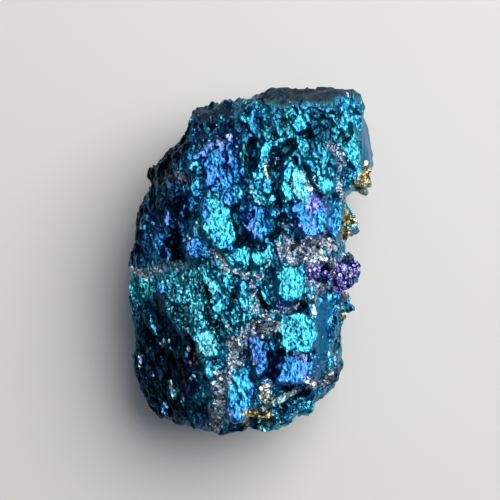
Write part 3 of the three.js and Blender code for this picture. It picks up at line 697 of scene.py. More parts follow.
def grainLayer(p, size, slope, channel):
    # separate grains, each tilted its own way: height, and the lines between them
    q = p / size
    cell = np.floor(q).astype(np.int64)
    best = second = [np.full(len(p), 9.0), np.zeros(len(p))]
    for i in (-1, 0, 1):
        for j in (-1, 0, 1):
            for k in (-1, 0, 1):
                c = (cell[:, 0] + i, cell[:, 1] + j, cell[:, 2] + k)
                off = [q[:, axis] - c[axis] - cellHash(*c, channel + axis) for axis in range(3)]
                gap = np.sqrt(off[0] ** 2 + off[1] ** 2 + off[2] ** 2)
                tilt = sum(off[axis] * (2 * cellHash(*c, channel + 3 + axis) - 1) for axis in range(3))
                best, second = keepNearest([gap, tilt], best, second)
    edge = second[0] - best[0]
    own = 0.5 + 0.5 * ramp(edge, 0, 0.12)
    height = size * slope * 2 * (second[1] + (best[1] - second[1]) * own)
    return height, 1 - ramp(edge, 0, 0.18)


def foldLayer(p, width, height, wander, channel):
    # overlapping folds, each sloping gently down to the right and ending at a small step that faces left
    across, along = leaning(p, lump["lean"])
    q = np.stack([across / (width * 1.6), along / (width * 3.4), p[:, 2] / (width * 1.6)], axis=1)
    phase = across / width + wander * smoothNoise(q, channel) + 0.35 * smoothNoise(q * 2.3, channel + 1)
    part = phase - np.floor(phase)
    step = 0.3
    slope = np.where(part < step, part / step, 1 - (part - step) / (1 - step))
    strength = 0.5 + 0.5 * smoothNoise(q * 0.8, channel + 2)
    return strength * height * (slope - 0.5)


def spreadOut(values, edges, rounds):
    # the values blurred over the mesh
    ends = np.concatenate([edges[:, 0], edges[:, 1]])
    others = np.concatenate([edges[:, 1], edges[:, 0]])
    count = np.maximum(np.bincount(ends, minlength=len(values)), 1)
    for _ in range(rounds):
        values = 0.5 * values + 0.5 * np.bincount(ends, values[others], minlength=len(values)) / count
    return values


def patchShare(p, spot, soft):
    # 1 inside a patch and 0 outside; it is oval, and the higher its power the squarer
    across, along = leaning(p - np.array([*spot["at"], 0]), spot["lean"])
    power = spot.get("power", 2)
    across = np.abs(2 * across / spot["wide"])
    along = np.abs(2 * along / spot["long"])
    out = (across ** power + along ** power) ** (1 / power)
    return 1 - ramp(out, 1 - soft, 1 + soft)


def placeIn(at, lean, across, along):
    # the place that lies so far across and along from the middle of something that leans
    lean = math.radians(lean)
    x = at[0] + across * math.cos(lean) - along * math.sin(lean)
    y = at[1] + across * math.sin(lean) + along * math.cos(lean)
    return x, y


def pathGap(p, path):
    gap = np.full(len(p), 99.0)
    for (ax, ay), (bx, by) in zip(path[:-1], path[1:]):
        dx, dy = bx - ax, by - ay
        share = np.clip(((p[:, 0] - ax) * dx + (p[:, 1] - ay) * dy) / (dx * dx + dy * dy), 0, 1)
        gap = np.minimum(gap, np.hypot(p[:, 0] - ax - share * dx, p[:, 1] - ay - share * dy))
    return gap


def meshArrays(mesh):
    points = np.empty(len(mesh.vertices) * 3)
    mesh.vertices.foreach_get("co", points)
    normals = np.empty(len(mesh.vertices) * 3)
    mesh.vertices.foreach_get("normal", normals)
    edges = np.empty(len(mesh.edges) * 2, dtype=np.int64)
    mesh.edges.foreach_get("vertices", edges)
    return points.reshape(-1, 3) / mm, normals.reshape(-1, 3), edges.reshape(-1, 2)


def setAttribute(mesh, name, values):
    layer = mesh.attributes.new(name, "FLOAT", "POINT")
    layer.data.foreach_set("value", np.asarray(values, dtype=np.float32))


def setPoints(mesh, points):
    # points in mm, kept in the lump's box
    points = np.clip(points, boxLow, boxHigh)
    mesh.vertices.foreach_set("co", (points * mm).ravel())
    mesh.update()
    return points


def applyModifiers(piece):
    graph = bpy.context.evaluated_depsgraph_get()
    graph.update()
    shaped = piece.evaluated_get(graph)
    done = bpy.data.meshes.new_from_object(shaped, preserve_all_data_layers=True, depsgraph=graph)
    old = piece.data
    piece.modifiers.clear()
    piece.data = done
    done.name = piece.name
    bpy.data.meshes.remove(old)


def countTriangles(mesh):
    return sum(len(face.vertices) - 2 for face in mesh.polygons)


def copyLump(name):
    mesh = oreNode.data.copy()
    mesh.name = name
    bm = bmesh.new()
    bm.from_mesh(mesh)
    bmesh.ops.remove_doubles(bm, verts=bm.verts, dist=1e-3 * mm)
    bm.to_mesh(mesh)
    bm.free()
    mesh.materials.clear()
    piece = bpy.data.objects.new(name, mesh)
    bpy.context.scene.collection.objects.link(piece)
    return piece


def remeshLump(piece, stage):
    remesh = piece.modifiers.new("voxels", "REMESH")
    remesh.mode = "VOXEL"
    remesh.voxel_size = lump["voxels"][stage] * mm
    smooth = piece.modifiers.new("smooth", "SMOOTH")
    smooth.factor, smooth.iterations = 0.5, lump["smoothing"][stage]
    applyModifiers(piece)
    print("lump remeshed:", len(piece.data.vertices), "points")


def asSeen(p):
    # where the camera sees each point on the level of the waist; its height stays
    middle = np.array(view["middle"])
    closer = view["height"] / (view["waist"] + view["height"] - p[:, 2:])
    return np.hstack([middle + (p[:, :2] - middle) * closer, p[:, 2:]])


def warped(p):
    # the wander of the patches' edges
    size, reach = lump["warp"]
    fine = size / 3
    level = np.zeros(len(p))
    shift = np.stack([smoothNoise(p / size, 11), smoothNoise(p / size, 12), level], axis=1)
    fineShift = np.stack([smoothNoise(p / fine, 13), smoothNoise(p / fine, 14), level], axis=1)
    return p + reach * (shift + 0.5 * fineShift)


def heightMap(p, n):
    # the lump's upper surface as a blurred grid of heights
    step, reach, rounds = 0.25, 18, 12
    count = int(2 * reach / step)
    grid = np.full((count, count), -1.0)
    up = n[:, 2] > 0
    i, j = ((p[up, :2] + reach) / step).astype(int).T
    np.maximum.at(grid, (i, j), p[up, 2])
    for _ in range(rounds):
        known = grid > 0
        near = [np.roll(np.roll(grid, a, 0), b, 1) for a in (-1, 0, 1) for b in (-1, 0, 1)]
        weight = sum((one > 0).astype(float) for one in near)
        average = sum(np.where(one > 0, one, 0) for one in near) / np.maximum(weight, 1)
        grid = np.where(known, 0.5 * grid + 0.5 * average, np.where(weight > 0, average, grid))

    def heightAt(x, y):
        u, v = (np.stack([x, y]) + reach) / step - 0.5
        i, j = [np.clip(np.floor(part).astype(int), 0, count - 2) for part in (u, v)]
        a, b = u - i, v - j
        low = grid[i, j] * (1 - a) + grid[i + 1, j] * a
        high = grid[i, j + 1] * (1 - a) + grid[i + 1, j + 1] * a
        return low * (1 - b) + high * b

    return heightAt


def layMosaic(p, heightAt, dark, tiles):
    # small plates side by side, each flat: the lift to them less the groove between, and how bright each is
    turn = math.radians(lump["lean"])
    across, along = leaning(p, lump["lean"])
    q = np.stack([across / tiles["wide"], along / tiles["long"]], axis=1)
    cell = np.floor(q).astype(np.int64)
    steepness, way = math.tan(math.radians(lump["flash"][0])), math.radians(lump["flash"][1])
    nearAway, farAway = tiles["away"]
    channel = tiles["channel"]
    base = heightAt(p[:, 0], p[:, 1])
    best = second = [np.full(len(p), 9.0), np.zeros(len(p)), np.zeros(len(p))]
    for i in (-1, 0, 1):
        for j in (-1, 0, 1):
            c = (cell[:, 0] + i, cell[:, 1] + j, np.zeros(len(p), dtype=np.int64))
            middle = [c[axis] + cellHash(*c, channel + axis) for axis in range(2)]
            gap = np.hypot(q[:, 0] - middle[0], q[:, 1] - middle[1])
            x = middle[0] * tiles["wide"] * math.cos(turn) - middle[1] * tiles["long"] * math.sin(turn)
            y = middle[0] * tiles["wide"] * math.sin(turn) + middle[1] * tiles["long"] * math.cos(turn)
            shines = cellHash(*c, channel + 2) < tiles["bright"] * (1 - dark)
            off = nearAway + (farAway - nearAway) * cellHash(*c, channel + 3)
            off = np.where(shines, tiles["even"] * cellHash(*c, channel + 3), off)
            spin = 2 * math.pi * cellHash(*c, channel + 4)
            slopeX = -steepness * math.cos(way) + off * np.cos(spin)
            slopeY = -steepness * math.sin(way) + off * np.sin(spin)
            own = heightAt(x, y) + slopeX * (p[:, 0] - x) + slopeY * (p[:, 1] - y) - base
            own += 0.2 * tiles["wide"] * (cellHash(*c, channel + 5) - 0.5)
            best, second = keepNearest([gap, own, shines], best, second)
    edge = second[0] - best[0]
    own = 0.5 + 0.5 * ramp(edge, 0, 0.10)
    lift = np.clip(second[1] + (best[1] - second[1]) * own, -lump["mostLift"], lump["mostLift"])
    return lift - tiles["groove"] * (1 - ramp(edge, 0, 0.16)), best[2]


def layPlates(p, w, seen):
    # where plates lie, which way they lift, and the film and paleness (partly a painted highlight) they bring
    share, lift, film, pale = (np.zeros(len(p)) for _ in range(4))
    steepness, way = lump["flash"]
    way = math.radians(way)
    for plate in lump["plates"].values():
        at = np.array(plate["at"])
        reach = np.abs(p[:, :2] - at).max(axis=1)
        near = np.flatnonzero((reach < plate["long"] + plate["wide"]) & (seen > 0))
        middle = near[np.hypot(*(p[near, :2] - at).T) < 0.4]
        if len(middle) == 0:
            print("no surface under the plate at", plate["at"])
            continue
        top = p[middle, 2].max()
        level = p[middle, 2][p[middle, 2] > top - 1].mean()
        own = patchShare(w[near], plate, lump["soft"]["plates"]) * seen[near] * (p[near, 2] > level - 3)
        fall = math.tan(math.radians(plate.get("tilt", steepness)))
        away = (p[near, 0] - at[0]) * math.cos(way) + (p[near, 1] - at[1]) * math.sin(way)
        level += plate.get("high", lump["plateHeight"])
        rise = np.clip(level - fall * away - p[near, 2], *lump["plateReach"])
        if plate.get("over"):
            film[near] += own * (plate["film"] - film[near])
            pale[near] += own * (plate.get("pale", 0) - pale[near])
            continue
        wins = own > share[near]
        lift[near] = np.where(wins, own * rise, lift[near])
        film[near] = np.where(wins, plate["film"], film[near])
        pale[near] = np.where(wins, plate.get("pale", 0), pale[near])
        share[near] = np.maximum(share[near], own)
    return share, lift, film, pale


def layOut(p, n, edges):
    # everything that depends on the place alone, as one number for each point
    fromAbove = asSeen(p)
    w = warped(fromAbove)
    masks = {"w": w}
    broadUp = spreadOut(n[:, 2], edges, 60)
    heightAt = heightMap(p, n)
    face = lump["face"]
    atTop = ramp(p[:, 2] - heightAt(p[:, 0], p[:, 1]), *face["belowTop"])
    seen = masks["seen"] = ramp(broadUp, *face["up"]) * ramp(p[:, 2], *face["height"]) * atTop
    seam = np.zeros(len(p))
    for one in lump["seams"].values():
        gap = pathGap(w, one["path"]) / (one["wide"] / 2)
        seam = np.maximum(seam, one["strength"] * (1 - ramp(gap, *lump["fades"]["seam"])))
    seam *= seen * ramp(smoothNoise(p / 0.7, 21) + 0.6 * smoothNoise(p / 0.3, 22), -0.75, 0.35)
    worn, shade = np.zeros(len(p)), np.zeros(len(p))
    for one in lump["wornFaces"].values():
        share = patchShare(w, one, 0.15 + 0.2 * one["dark"])
        shade = np.where(share > worn, one["dark"], shade)
        worn = np.maximum(worn, share)
    masks["plain"] = worn * ramp(p[:, 2], 5.0, 7.0)
    worn = worn * seen * (1 - seam)
    masks.update(seam=seam, worn=worn, slate=worn * shade)
    # dark skin and painted shade: patches on the sides and the underside, then the listed patches
    soot = lump["underSkinAndShade"] * (1 - seen) * ramp(smoothNoise(p / 4.0, 61), -0.2, 0.6)
    for patch in lump["soot"].values():
        part = patch["strength"] * patchShare(w, patch, lump["soft"]["soot"])
        soot = np.maximum(soot, part * ramp(p[:, 2], 3.0, 7.0))
    masks["soot"] = soot
    share, lift, masks["plateFilm"], pale = layPlates(fromAbove, w, seen)
    share *= 1 - worn
    wandering = p + 0.35 * (warped(p) - p)
    dark = lump["inSkinAndShade"] * soot
    small, bright = layMosaic(wandering, heightAt, dark, lump["mosaics"]["broad"])
    crumbs, crumbBright = layMosaic(wandering, heightAt, dark, lump["mosaics"]["crumbs"])
    crumbly = np.zeros(len(p))
    for patch in lump["crumbs"].values():
        crumbly = np.maximum(crumbly, patch["strength"] * patchShare(w, patch, lump["soft"]["crumbs"]))
    small += (crumbs - small) * crumbly
    masks["bright"] = bright + (crumbBright - bright) * crumbly
    masks["crumbly"] = crumbly
    masks["lift"] = (1 - worn) * (lift + small * seen * (1 - share) * (1 - 0.6 * seam))
    masks.update(share=share, pale=pale * share)
    sunk = np.zeros(len(p))
    ragged = 1 + lump["fades"]["ragged"] * smoothNoise(p / 0.5, 31)
    for crack in lump["cracks"].values():
        gap = pathGap(w, crack["path"]) / (crack["wide"] / 2 * ragged)
        sunk = np.maximum(sunk, crack["deep"] * (1 - ramp(gap, *lump["fades"]["crack"])))
    masks["sunk"] = sunk * seen
    return masks


def movePoints(mesh, p, moved):
    # the flat spot stays flat, and the relief grows from there
    flat, full = 0.02, 0.7
    foot = ramp(p[:, 2], flat, full)[:, None]
    moved = p + (moved - p) * foot
    moved[:, 2] = np.where(p[:, 2] < flat, 0.0, np.maximum(moved[:, 2], 0.0))
    return setPoints(mesh, moved)


def carvePlates(piece):
    p, n, edges = meshArrays(piece.data)
    masks = layOut(p, n, edges)
    under, _ = crumple(p, *lump["under"], 0, 80)
    under *= (1 - masks["seen"]) * (1 - masks["plain"])
    smoothed = np.stack([spreadOut(p[:, axis], edges, lump["wornRounds"]) for axis in range(3)], axis=1)
    moved = p + (smoothed - p) * masks["worn"][:, None] + n * (under - lump["sinkFirst"])[:, None]
    moved[:, 2] += masks["lift"] - masks["sunk"]
    for edge in lump["outline"].values():
        share = patchShare(masks["w"], edge, lump["soft"]["outline"]) * ramp(p[:, 2], 3.0, 6.0)
        moved[:, :2] += share[:, None] * np.array(edge["shift"])
    movePoints(piece.data, p, moved)
    low, high = masks["lift"].min(), masks["lift"].max()
    print("plates and cracks carved, lifted from", round(low, 2), "to", round(high, 2), "mm")


def carveGrain(piece):
    mesh = piece.data
    p, n, edges = meshArrays(mesh)
    masks = layOut(p, n, edges)
    share, seen, seam = masks["share"], masks["seen"], masks["seam"]
    height, own = np.zeros(len(p)), np.zeros(len(p))
    calmer = lump["calmer"]
    rough = 1 - calmer["worn"] * np.maximum(masks["worn"], calmer["plain"] * masks["plain"])
    rough += calmer["slate"] * masks["slate"]
    rough *= 1 - calmer["crumbly"] * masks["crumbly"] * (1 - masks["soot"])
    for number, (size, stretch, slope, turn, onPlate, inHue) in enumerate(lump["facets"]):
        layer, facetOwn = crumple(p, size, stretch, slope, turn, 100 + 20 * number)
        height += layer * rough * (1 - (1 - onPlate) * share)
        own += (facetOwn - 0.5) * inHue
    for number, (width, tall, wander, onPlate) in enumerate(lump["folds"]):
        layer = foldLayer(masks["w"], width, tall, wander, 200 + 10 * number)
        height += layer * rough * (1 - (1 - onPlate) * share)
    size, slope, crease = lump["grains"]
    layer, line = grainLayer(p, size, slope, 160)
    height += seam * (layer - crease * line)
    moved = movePoints(mesh, p, p + n * height[:, None])
    print("grain carved, from", round(height.min(), 2), "to", round(height.max(), 2), "mm")
    # painted shade in hollows and cracks, less on worn faces, plates and seams
    hollow = findHollows(moved, n, edges, masks["sunk"])
    setAttribute(mesh, "hollow", hollow * (1 - 0.5 * masks["worn"]) * (1 - 0.6 * share) * (1 - 0.5 * seam))
    layTarnish(mesh, p, masks, own)


def findHollows(moved, n, edges, sunk):
    # painted shade where the surface lies below its surroundings, near and a little wider, and in the cracks
    broad = np.stack([spreadOut(n[:, axis], edges, 20) for axis in range(3)], axis=1)
    hollow = np.zeros(len(moved))
    near = moved.copy()
    for rounds, low, high, most in lump["hollows"]:
        near = np.stack([spreadOut(near[:, axis], edges, rounds) for axis in range(3)], axis=1)
        below = ((near - moved) * broad).sum(axis=1)
        hollow = 1 - (1 - hollow) * (1 - most * ramp(below, low, high))
    most, low, high = lump["inCracks"]
    return np.clip(hollow + most * ramp(sunk, low, high), 0, 1)


def layTarnish(mesh, p, masks, own):
    # what the material reads; own is each facet's own number, above or below 0
    share, seen, seam, worn = masks["share"], masks["seen"], masks["seam"], masks["worn"]
    usual, streak, dim, soft = lump["film"], lump["streaks"], lump["dim"], lump["soft"]
    # painted highlight hue: the film turns cyan where the small plates catch the window
    film = usual["usual"] + usual["bright"] * masks["bright"] + usual["own"] * own
    for number, (reach, width) in enumerate(usual["wander"]):
        film += reach * smoothNoise(p / width, 51 + number)
    reach, width = usual["away"]
    film += (1 - seen) * reach * smoothNoise(p / width, 53)
    across, along = leaning(masks["w"], lump["lean"])
    streaks = np.stack([across / streak["wide"], along / streak["long"], p[:, 2]], axis=1)
    streaks = smoothNoise(streaks, 55)
    ragged = np.maximum(ramp(streaks, -1.1, 0.1), worn)
    for patch in lump["tarnish"].values():
        part = patch["strength"] * patchShare(masks["w"], patch, soft["tarnish"]) * seen * ragged
        film += part * (patch["film"] + usual["own"] * own + streak["reach"] * streaks - film)
    film += share * (masks["plateFilm"] + 0.07 * own + 0.06 * streaks - film)
    gold = np.zeros(len(p))
    for patch in lump["brass"].values():
        gold = np.maximum(gold, patch["strength"] * patchShare(masks["w"], patch, soft["brass"]))
    gold *= seen * ramp(smoothNoise(p / 0.8, 58) + 0.5 * own, -0.8, -0.2)
    offPlates = 1 - lump["plateClean"] * share
    # dark skin and painted shade, kept mostly off the plates
    soot = masks["soot"] * offPlates * (1 - 0.6 * ramp(own, 0.5, 0.7))
    # painted shade on facets and small plates that turn away from the window
    turnedAway = np.maximum(dim["facets"] * ramp(-own, 0.22, 0.45), dim["plates"] * (1 - masks["bright"]))
    soot = np.maximum(soot, turnedAway * offPlates * (1 - worn) * seen) * (1 - seam)
    # painted shade between the grains of a seam
    betweenGrains = ramp(smoothNoise(p / 0.42, 61), 0.15, 0.75)
    soot = np.maximum(soot, dim["grains"] * seam * betweenGrains)
    setAttribute(mesh, "film", np.clip(film, 0, 1))
    setAttribute(mesh, "silver", seam)
    setAttribute(mesh, "gold", gold)
    # paleness on the plates, in part a painted highlight, broken up by noise
    setAttribute(mesh, "pale", masks["pale"] * ramp(smoothNoise(p / 0.45, 57), -0.6, 0.4))
    setAttribute(mesh, "worn", masks["slate"])
    setAttribute(mesh, "smooth", worn - 0.6 * masks["slate"])
    setAttribute(mesh, "soot", soot)
    print("tarnish laid on")


def thinOut(piece, most):
    mesh = piece.data
    before = countTriangles(mesh)
    if before > most:
        # the larger its weight, the more a place gives up: the underside more than the face
        under = piece.vertex_groups.new(name="underside")
        _, normals, _ = meshArrays(mesh)
        plain = 0.6 - 0.35 * ramp(normals[:, 2], -0.4, 0.1)
        for level in (0.25, 0.5, 0.75, 1.0):
            under.add(np.flatnonzero((plain <= level) & (plain > level - 0.25)).tolist(), level, "REPLACE")
        decimate = piece.modifiers.new("thin out", "DECIMATE")
        decimate.ratio = most / before
        decimate.vertex_group = under.name
        applyModifiers(piece)
        setPoints(piece.data, meshArrays(piece.data)[0])
    print(piece.name, "has", countTriangles(piece.data), "triangles, was", before)


crystalLooks = ("film", "silver", "gold", "pale", "soot")
cornersMoved = {"nugget": 0.22, "block": 0.14}  # the most that a crystal's corners are moved about


def startHeap():
    return {name: [] for name in ("points", "faces", *crystalLooks)}


def addCrystal(heap, chance, place, size, top, lean=None, kind="nugget", flat=0.5, **looks):
    # one blunt crystal with its corners moved about; a nugget is cut flat across its top, which faces `top`
    shape, faces = crystalShapes[kind]
    points = shape * (1 + cornersMoved[kind] * np.array([[chance.uniform(-1, 1)] for _ in shape]))
    if kind == "nugget":
        points[:, 2] = np.minimum(points[:, 2], flat)
    points = points * np.array(size) / 2
    lean = math.radians(chance.uniform(0, 360) if lean is None else lean)
    upward = Vector(top).normalized()
    sideways = Vector((-math.sin(lean), math.cos(lean), 0)).cross(upward).normalized()
    axes = [sideways, upward.cross(sideways), upward]
    points = points @ np.array([axis[:] for axis in axes])
    first = len(heap["points"])
    heap["points"].extend((points + np.array(place)).tolist())
    heap["faces"].extend([[first + corner for corner in face] for face in faces])
    for name in crystalLooks:
        heap[name].extend([looks.get(name, 0.0)] * len(points))


def takeShape(bm):
    points = np.array([corner.co[:] for corner in bm.verts])
    faces = [[corner.index for corner in face.verts] for face in bm.faces]
    bm.free()
    return points, faces


def makeCrystalShapes():
    # a nugget is a coarse ball, and a block is a cube without its corners
    bm = bmesh.new()
    bmesh.ops.create_icosphere(bm, subdivisions=1, radius=1)
    nugget = takeShape(bm)
    bm = bmesh.new()
    bmesh.ops.create_cube(bm, size=1.5)
    bmesh.ops.bevel(bm, geom=list(bm.verts), offset=0.28, segments=1, affect="VERTICES")
    bmesh.ops.triangulate(bm, faces=list(bm.faces))
    bm.verts.index_update()
    return {"nugget": nugget, "block": takeShape(bm)}


def heapPiece(name, heap):
    points = np.clip(np.array(heap["points"]), boxLow, boxHigh)
    mesh = bpy.data.meshes.new(name)
    mesh.from_pydata((points * mm).tolist(), [], heap["faces"])
    for look in crystalLooks:
        setAttribute(mesh, look, heap[look])
    piece = bpy.data.objects.new(name, mesh)
    bpy.context.scene.collection.objects.link(piece)
    addPiece(piece, tarnish)
    print(name, "has", len(heap["faces"]), "faces")


def makeSurfaceFinder(piece):
    tree = BVHTree.FromObject(piece, bpy.context.evaluated_depsgraph_get())
    start = Vector(eye)
    lowest = 1  # nothing is set lower than this

    def surfaceAt(x, y):
        place, normal, _, _ = tree.ray_cast(start * mm, Vector((x, y, view["waist"])) - start)
        if place is None or place.z < lowest * mm:
            return None, None
        return np.array(place) / mm, np.array(normal)

    return surfaceAt


def towardsWindow(chance, spread):
    # a direction that catches the window, give or take some degrees
    steepness, way = lump["flash"]
    reach = math.tan(math.radians(spread))
    return directionOf(way, 90 - steepness) + Vector([chance.gauss(0, reach) for _ in range(3)])


seamGrains = {
    "seed": 5,
    "perSquareMm": 7,
    "scatter": 0.34,  # how far they lie from the middle of the seam, in widths
    "size": (0.16, 0.40),
    "spread": 26,
    "tinted": 0.36,  # the share that has one of these films in place of silver
    "films": [0.40, 0.62, 0.72, 0.78],
}


def makeSeamGrains(surfaceAt):
    chance = random.Random(seamGrains["seed"])
    heap = startHeap()
    for seam in lump["seams"].values():
        for (ax, ay), (bx, by) in zip(seam["path"][:-1], seam["path"][1:]):
            area = math.hypot(bx - ax, by - ay) * seam["wide"]
            scatter = seamGrains["scatter"] * seam["wide"]
            for _ in range(int(area * seamGrains["perSquareMm"] * seam["strength"])):
                share = chance.random()
                x = ax + (bx - ax) * share + chance.gauss(0, scatter)
                y = ay + (by - ay) * share + chance.gauss(0, scatter)
                place = np.array([[x, y, 0.0]])
                x, y = (2 * place - warped(place))[0, :2]
                place, _ = surfaceAt(x, y)
                if place is None:
                    continue
                low, high = seamGrains["size"]
                size = low + (high - low) * chance.random() ** 2
                tinted = chance.random() < seamGrains["tinted"]
                addCrystal(
                    heap, chance, place, (size * chance.uniform(0.8, 1.5), size, size),
                    towardsWindow(chance, seamGrains["spread"]),
                    silver=0 if tinted else chance.uniform(0.7, 1),
                    film=chance.choice(seamGrains["films"]),
                    pale=0 if tinted else chance.uniform(0, 0.35),
                )
    heapPiece("seam_grains", heap)


sparks = {
    "seed": 11,
    # lone bright faces in the dark parts: place, length, width, lean and film, and how pale; the paleness
    # is in part a painted highlight
    "placed": {
        "flank, lowest": oval(-8.25, -14.0, 1.4, 0.45, 0, film=0.60, pale=0.1),
        "flank, cyan": oval(-7.5, -12.1, 1.6, 0.45, 14, film=0.74, pale=0.3),
        "flank, cyan mate": oval(-7.0, -12.1, 0.7, 0.25, 0, film=0.74),
        "flank, white": oval(-10.6, -9.3, 0.7, 0.4, 0, film=0.56, pale=0.5),
        "flank, white dot": oval(-10.6, -9.95, 0.3, 0.3, 0, film=0.6, pale=0.8),
        "flank, blue": oval(-10.25, -9.0, 0.35, 0.3, 0, film=0.54),
        "flank, violet": oval(-9.4, -10.5, 0.8, 0.25, 6, film=0.46),
        "flank, upper": oval(-9.25, -6.4, 1.0, 0.45, 20, film=0.70),
        "flank, upper tail": oval(-9.5, -5.5, 0.8, 0.25, 14, film=0.72),
        "flank, middle": oval(-8.35, -7.7, 0.7, 0.4, 18, film=0.72, pale=0.2),
        "flank, middle blue": oval(-8.9, -7.5, 0.4, 0.3, 0, film=0.60),
        "flank, green": oval(-7.8, -7.5, 0.5, 0.25, -20, film=0.80),
        "flank, green mate": oval(-7.7, -8.25, 0.35, 0.2, 50, film=0.80),
        "white over the slot": oval(-5.95, -8.2, 0.5, 0.3, 20, film=0.6, pale=0.9),
        "orange": oval(-5.35, -8.9, 0.8, 0.3, -8, film=0.13, pale=0.15),
        "violet under it": oval(-5.3, -9.8, 0.4, 0.3, 0, film=0.38, pale=0.2),
        "cream": oval(-5.8, -9.8, 0.8, 0.25, 0, film=0.02, pale=0.9),
        "white pearl": oval(-5.6, -10.9, 0.5, 0.45, 0, film=0.6, pale=1),
        "slot cyan": oval(-6.2, -8.8, 0.6, 0.3, 0, film=0.64),
        "low cyan": oval(-6.45, -13.1, 0.4, 0.25, 0, film=0.75),
        "red": oval(7.7, 10.85, 0.25, 0.2, 0, film=0.15),
        "red's violet": oval(8.0, 10.85, 0.3, 0.3, 0, film=0.38),
        "burnt, white": oval(1.35, 8.9, 1.0, 0.26, 0, film=0.03, pale=0.8),
        "burnt, red": oval(1.5, 9.4, 0.7, 0.22, -10, film=0.17, pale=0.2),
        "burnt, gold": oval(1.55, 8.15, 0.6, 0.34, 20, film=0.06, pale=0.4),
        "pink in the hollow": oval(2.35, 9.6, 0.9, 0.2, -10, film=0.40),
        "corner glint": oval(9.2, 15.9, 0.3, 0.3, 0, film=0.78, pale=0.9),
        "white by the smooth side": oval(6.0, -4.7, 1.1, 0.5, 8, film=0.58, pale=0.8),
        "cream by the crack": oval(5.6, 6.9, 0.5, 0.4, 0, film=0.7, pale=0.9),
        "cream over the crack": oval(6.0, 7.9, 0.5, 0.4, 0, film=0.7, pale=0.7),
        "white by the great plate": oval(-5.15, 3.5, 0.5, 0.35, 0, film=0.7, pale=0.9),
        "white below it": oval(-5.35, 2.9, 0.5, 0.25, 0, film=0.7, pale=0.8),
        "cream below it": oval(-5.85, 2.3, 0.3, 0.3, 0, film=0.03, pale=0.6),
        "pink at the foot": oval(-3.1, -13.4, 0.4, 0.4, 0, film=0.22, pale=0.4),
        "cream at the foot": oval(-2.85, -15.0, 0.5, 0.3, 0, film=0.75, pale=0.9),
        "right cyan": oval(7.4, -9.7, 1.2, 0.5, 0, film=0.71),
        "right cyan dot": oval(7.45, -8.7, 0.3, 0.3, 0, film=0.74, pale=0.3),
        "right lilac": oval(8.0, -9.3, 1.0, 0.3, 0, film=0.52, pale=0.3),
        "right magenta": oval(7.35, -10.2, 0.35, 0.25, 0, film=0.33),
    },
    # and small ones strewn over an area: place, length, width, lean, number, films and size
    "strewn": {
        "upper left": oval(-3.4, 12.2, 3.6, 6.4, -14, count=34, films=(0.62, 0.78)),
        "upper left corner": oval(-3.2, 14.0, 1.8, 5.2, 14, count=18, films=(0.68, 0.80)),
        "upper edge": oval(4.0, 14.2, 2.0, 10.0, 0, count=50, films=(0.62, 0.78)),
        "left shoulder": oval(-6.2, 8.2, 3.0, 3.4, -30, count=30, films=(0.70, 0.82)),
        "left": oval(-8.2, 4.6, 6.0, 4.6, 0, count=26, films=(0.50, 0.80)),
        "left, lower": oval(-9.4, 0.9, 3.6, 3.6, 0, count=70, films=(0.50, 0.66)),
        "flank": oval(-8.6, -9.6, 13.0, 5.0, 10, count=26, films=(0.52, 0.84)),
        "cascade": oval(
            -5.6, -3.6, 8.4, 4.8, 26, count=620, films=(0.69, 0.78), spread=10, size=(0.16, 0.46),
        ),
        "cascade, right": oval(-2.6, -3.6, 7.0, 3.4, 16, count=120, films=(0.68, 0.78)),
        "below the knob": oval(-3.6, -10.4, 3.0, 2.6, 0, count=34, films=(0.66, 0.76)),
        "middle": oval(3.0, 6.6, 10.0, 9.0, 0, count=80, films=(0.62, 0.76)),
        "lower right": oval(4.4, -8.0, 9.0, 5.0, 10, count=60, films=(0.52, 0.74)),
        "right strip": oval(8.1, -5.6, 5.4, 1.0, 4, count=30, films=(0.50, 0.72)),
        "ledge": oval(3.6, -13.6, 3.4, 6.0, -30, count=60, films=(0.60, 0.82)),
    },
    "size": (0.13, 0.36),
    "spread": 17,
    "leastLevel": 0.35,  # how far up the surface faces where they are strewn
    "areaForOne": 0.03,  # a placed face is made of several crystals, one for each such area and two more
    "widest": 0.34,  # of these crystals
    "placedSpread": 7,
    "flat": 0.35,  # how high all of them are cut flat
}


def makeSparks(surfaceAt):
    chance = random.Random(sparks["seed"])
    heap = startHeap()
    for spark in sparks["placed"].values():
        for _ in range(2 + int(spark["long"] * spark["wide"] / sparks["areaForOne"])):
            across = chance.gauss(0, 0.22) * spark["wide"]
            along = chance.uniform(-0.42, 0.42) * spark["long"]
            place, _ = surfaceAt(*placeIn(spark["at"], spark["lean"], across, along))
            if place is None:
                continue
            wide = min(spark["wide"], sparks["widest"]) * chance.uniform(0.4, 0.9)
            long = min(wide * chance.uniform(1.2, 2.8), spark["long"])
            addCrystal(
                heap, chance, place, (wide, long, wide), towardsWindow(chance, sparks["placedSpread"]),
                lean=spark["lean"] + chance.gauss(0, 10), flat=sparks["flat"],
                film=spark["film"] + chance.gauss(0, 0.02),
                pale=spark.get("pale", 0) * chance.uniform(0.3, 1),
            )
    for area in sparks["strewn"].values():
        low, high = area.get("size", sparks["size"])
        for _ in range(area["count"]):
            out, turn = math.sqrt(chance.random()), chance.uniform(0, 2 * math.pi)
            across = out * area["wide"] / 2 * math.cos(turn)
            along = out * area["long"] / 2 * math.sin(turn)
            place, normal = surfaceAt(*placeIn(area["at"], area["lean"], across, along))
            if place is None or normal[2] < sparks["leastLevel"]:
                continue
            wide = low + (high - low) * chance.random() ** 2.5
            long = wide * chance.uniform(1.0, 2.4)
            # a few are pale, a painted highlight
            addCrystal(
                heap, chance, place - 0.2 * wide * normal, (wide, long, wide * 0.8),
                towardsWindow(chance, area.get("spread", sparks["spread"])),
                lean=lump["lean"] + chance.gauss(0, 16), flat=sparks["flat"],
                film=chance.uniform(*area["films"]),
                pale=0.16 * chance.random() ** 3,
            )
    heapPiece("spark_faces", heap)


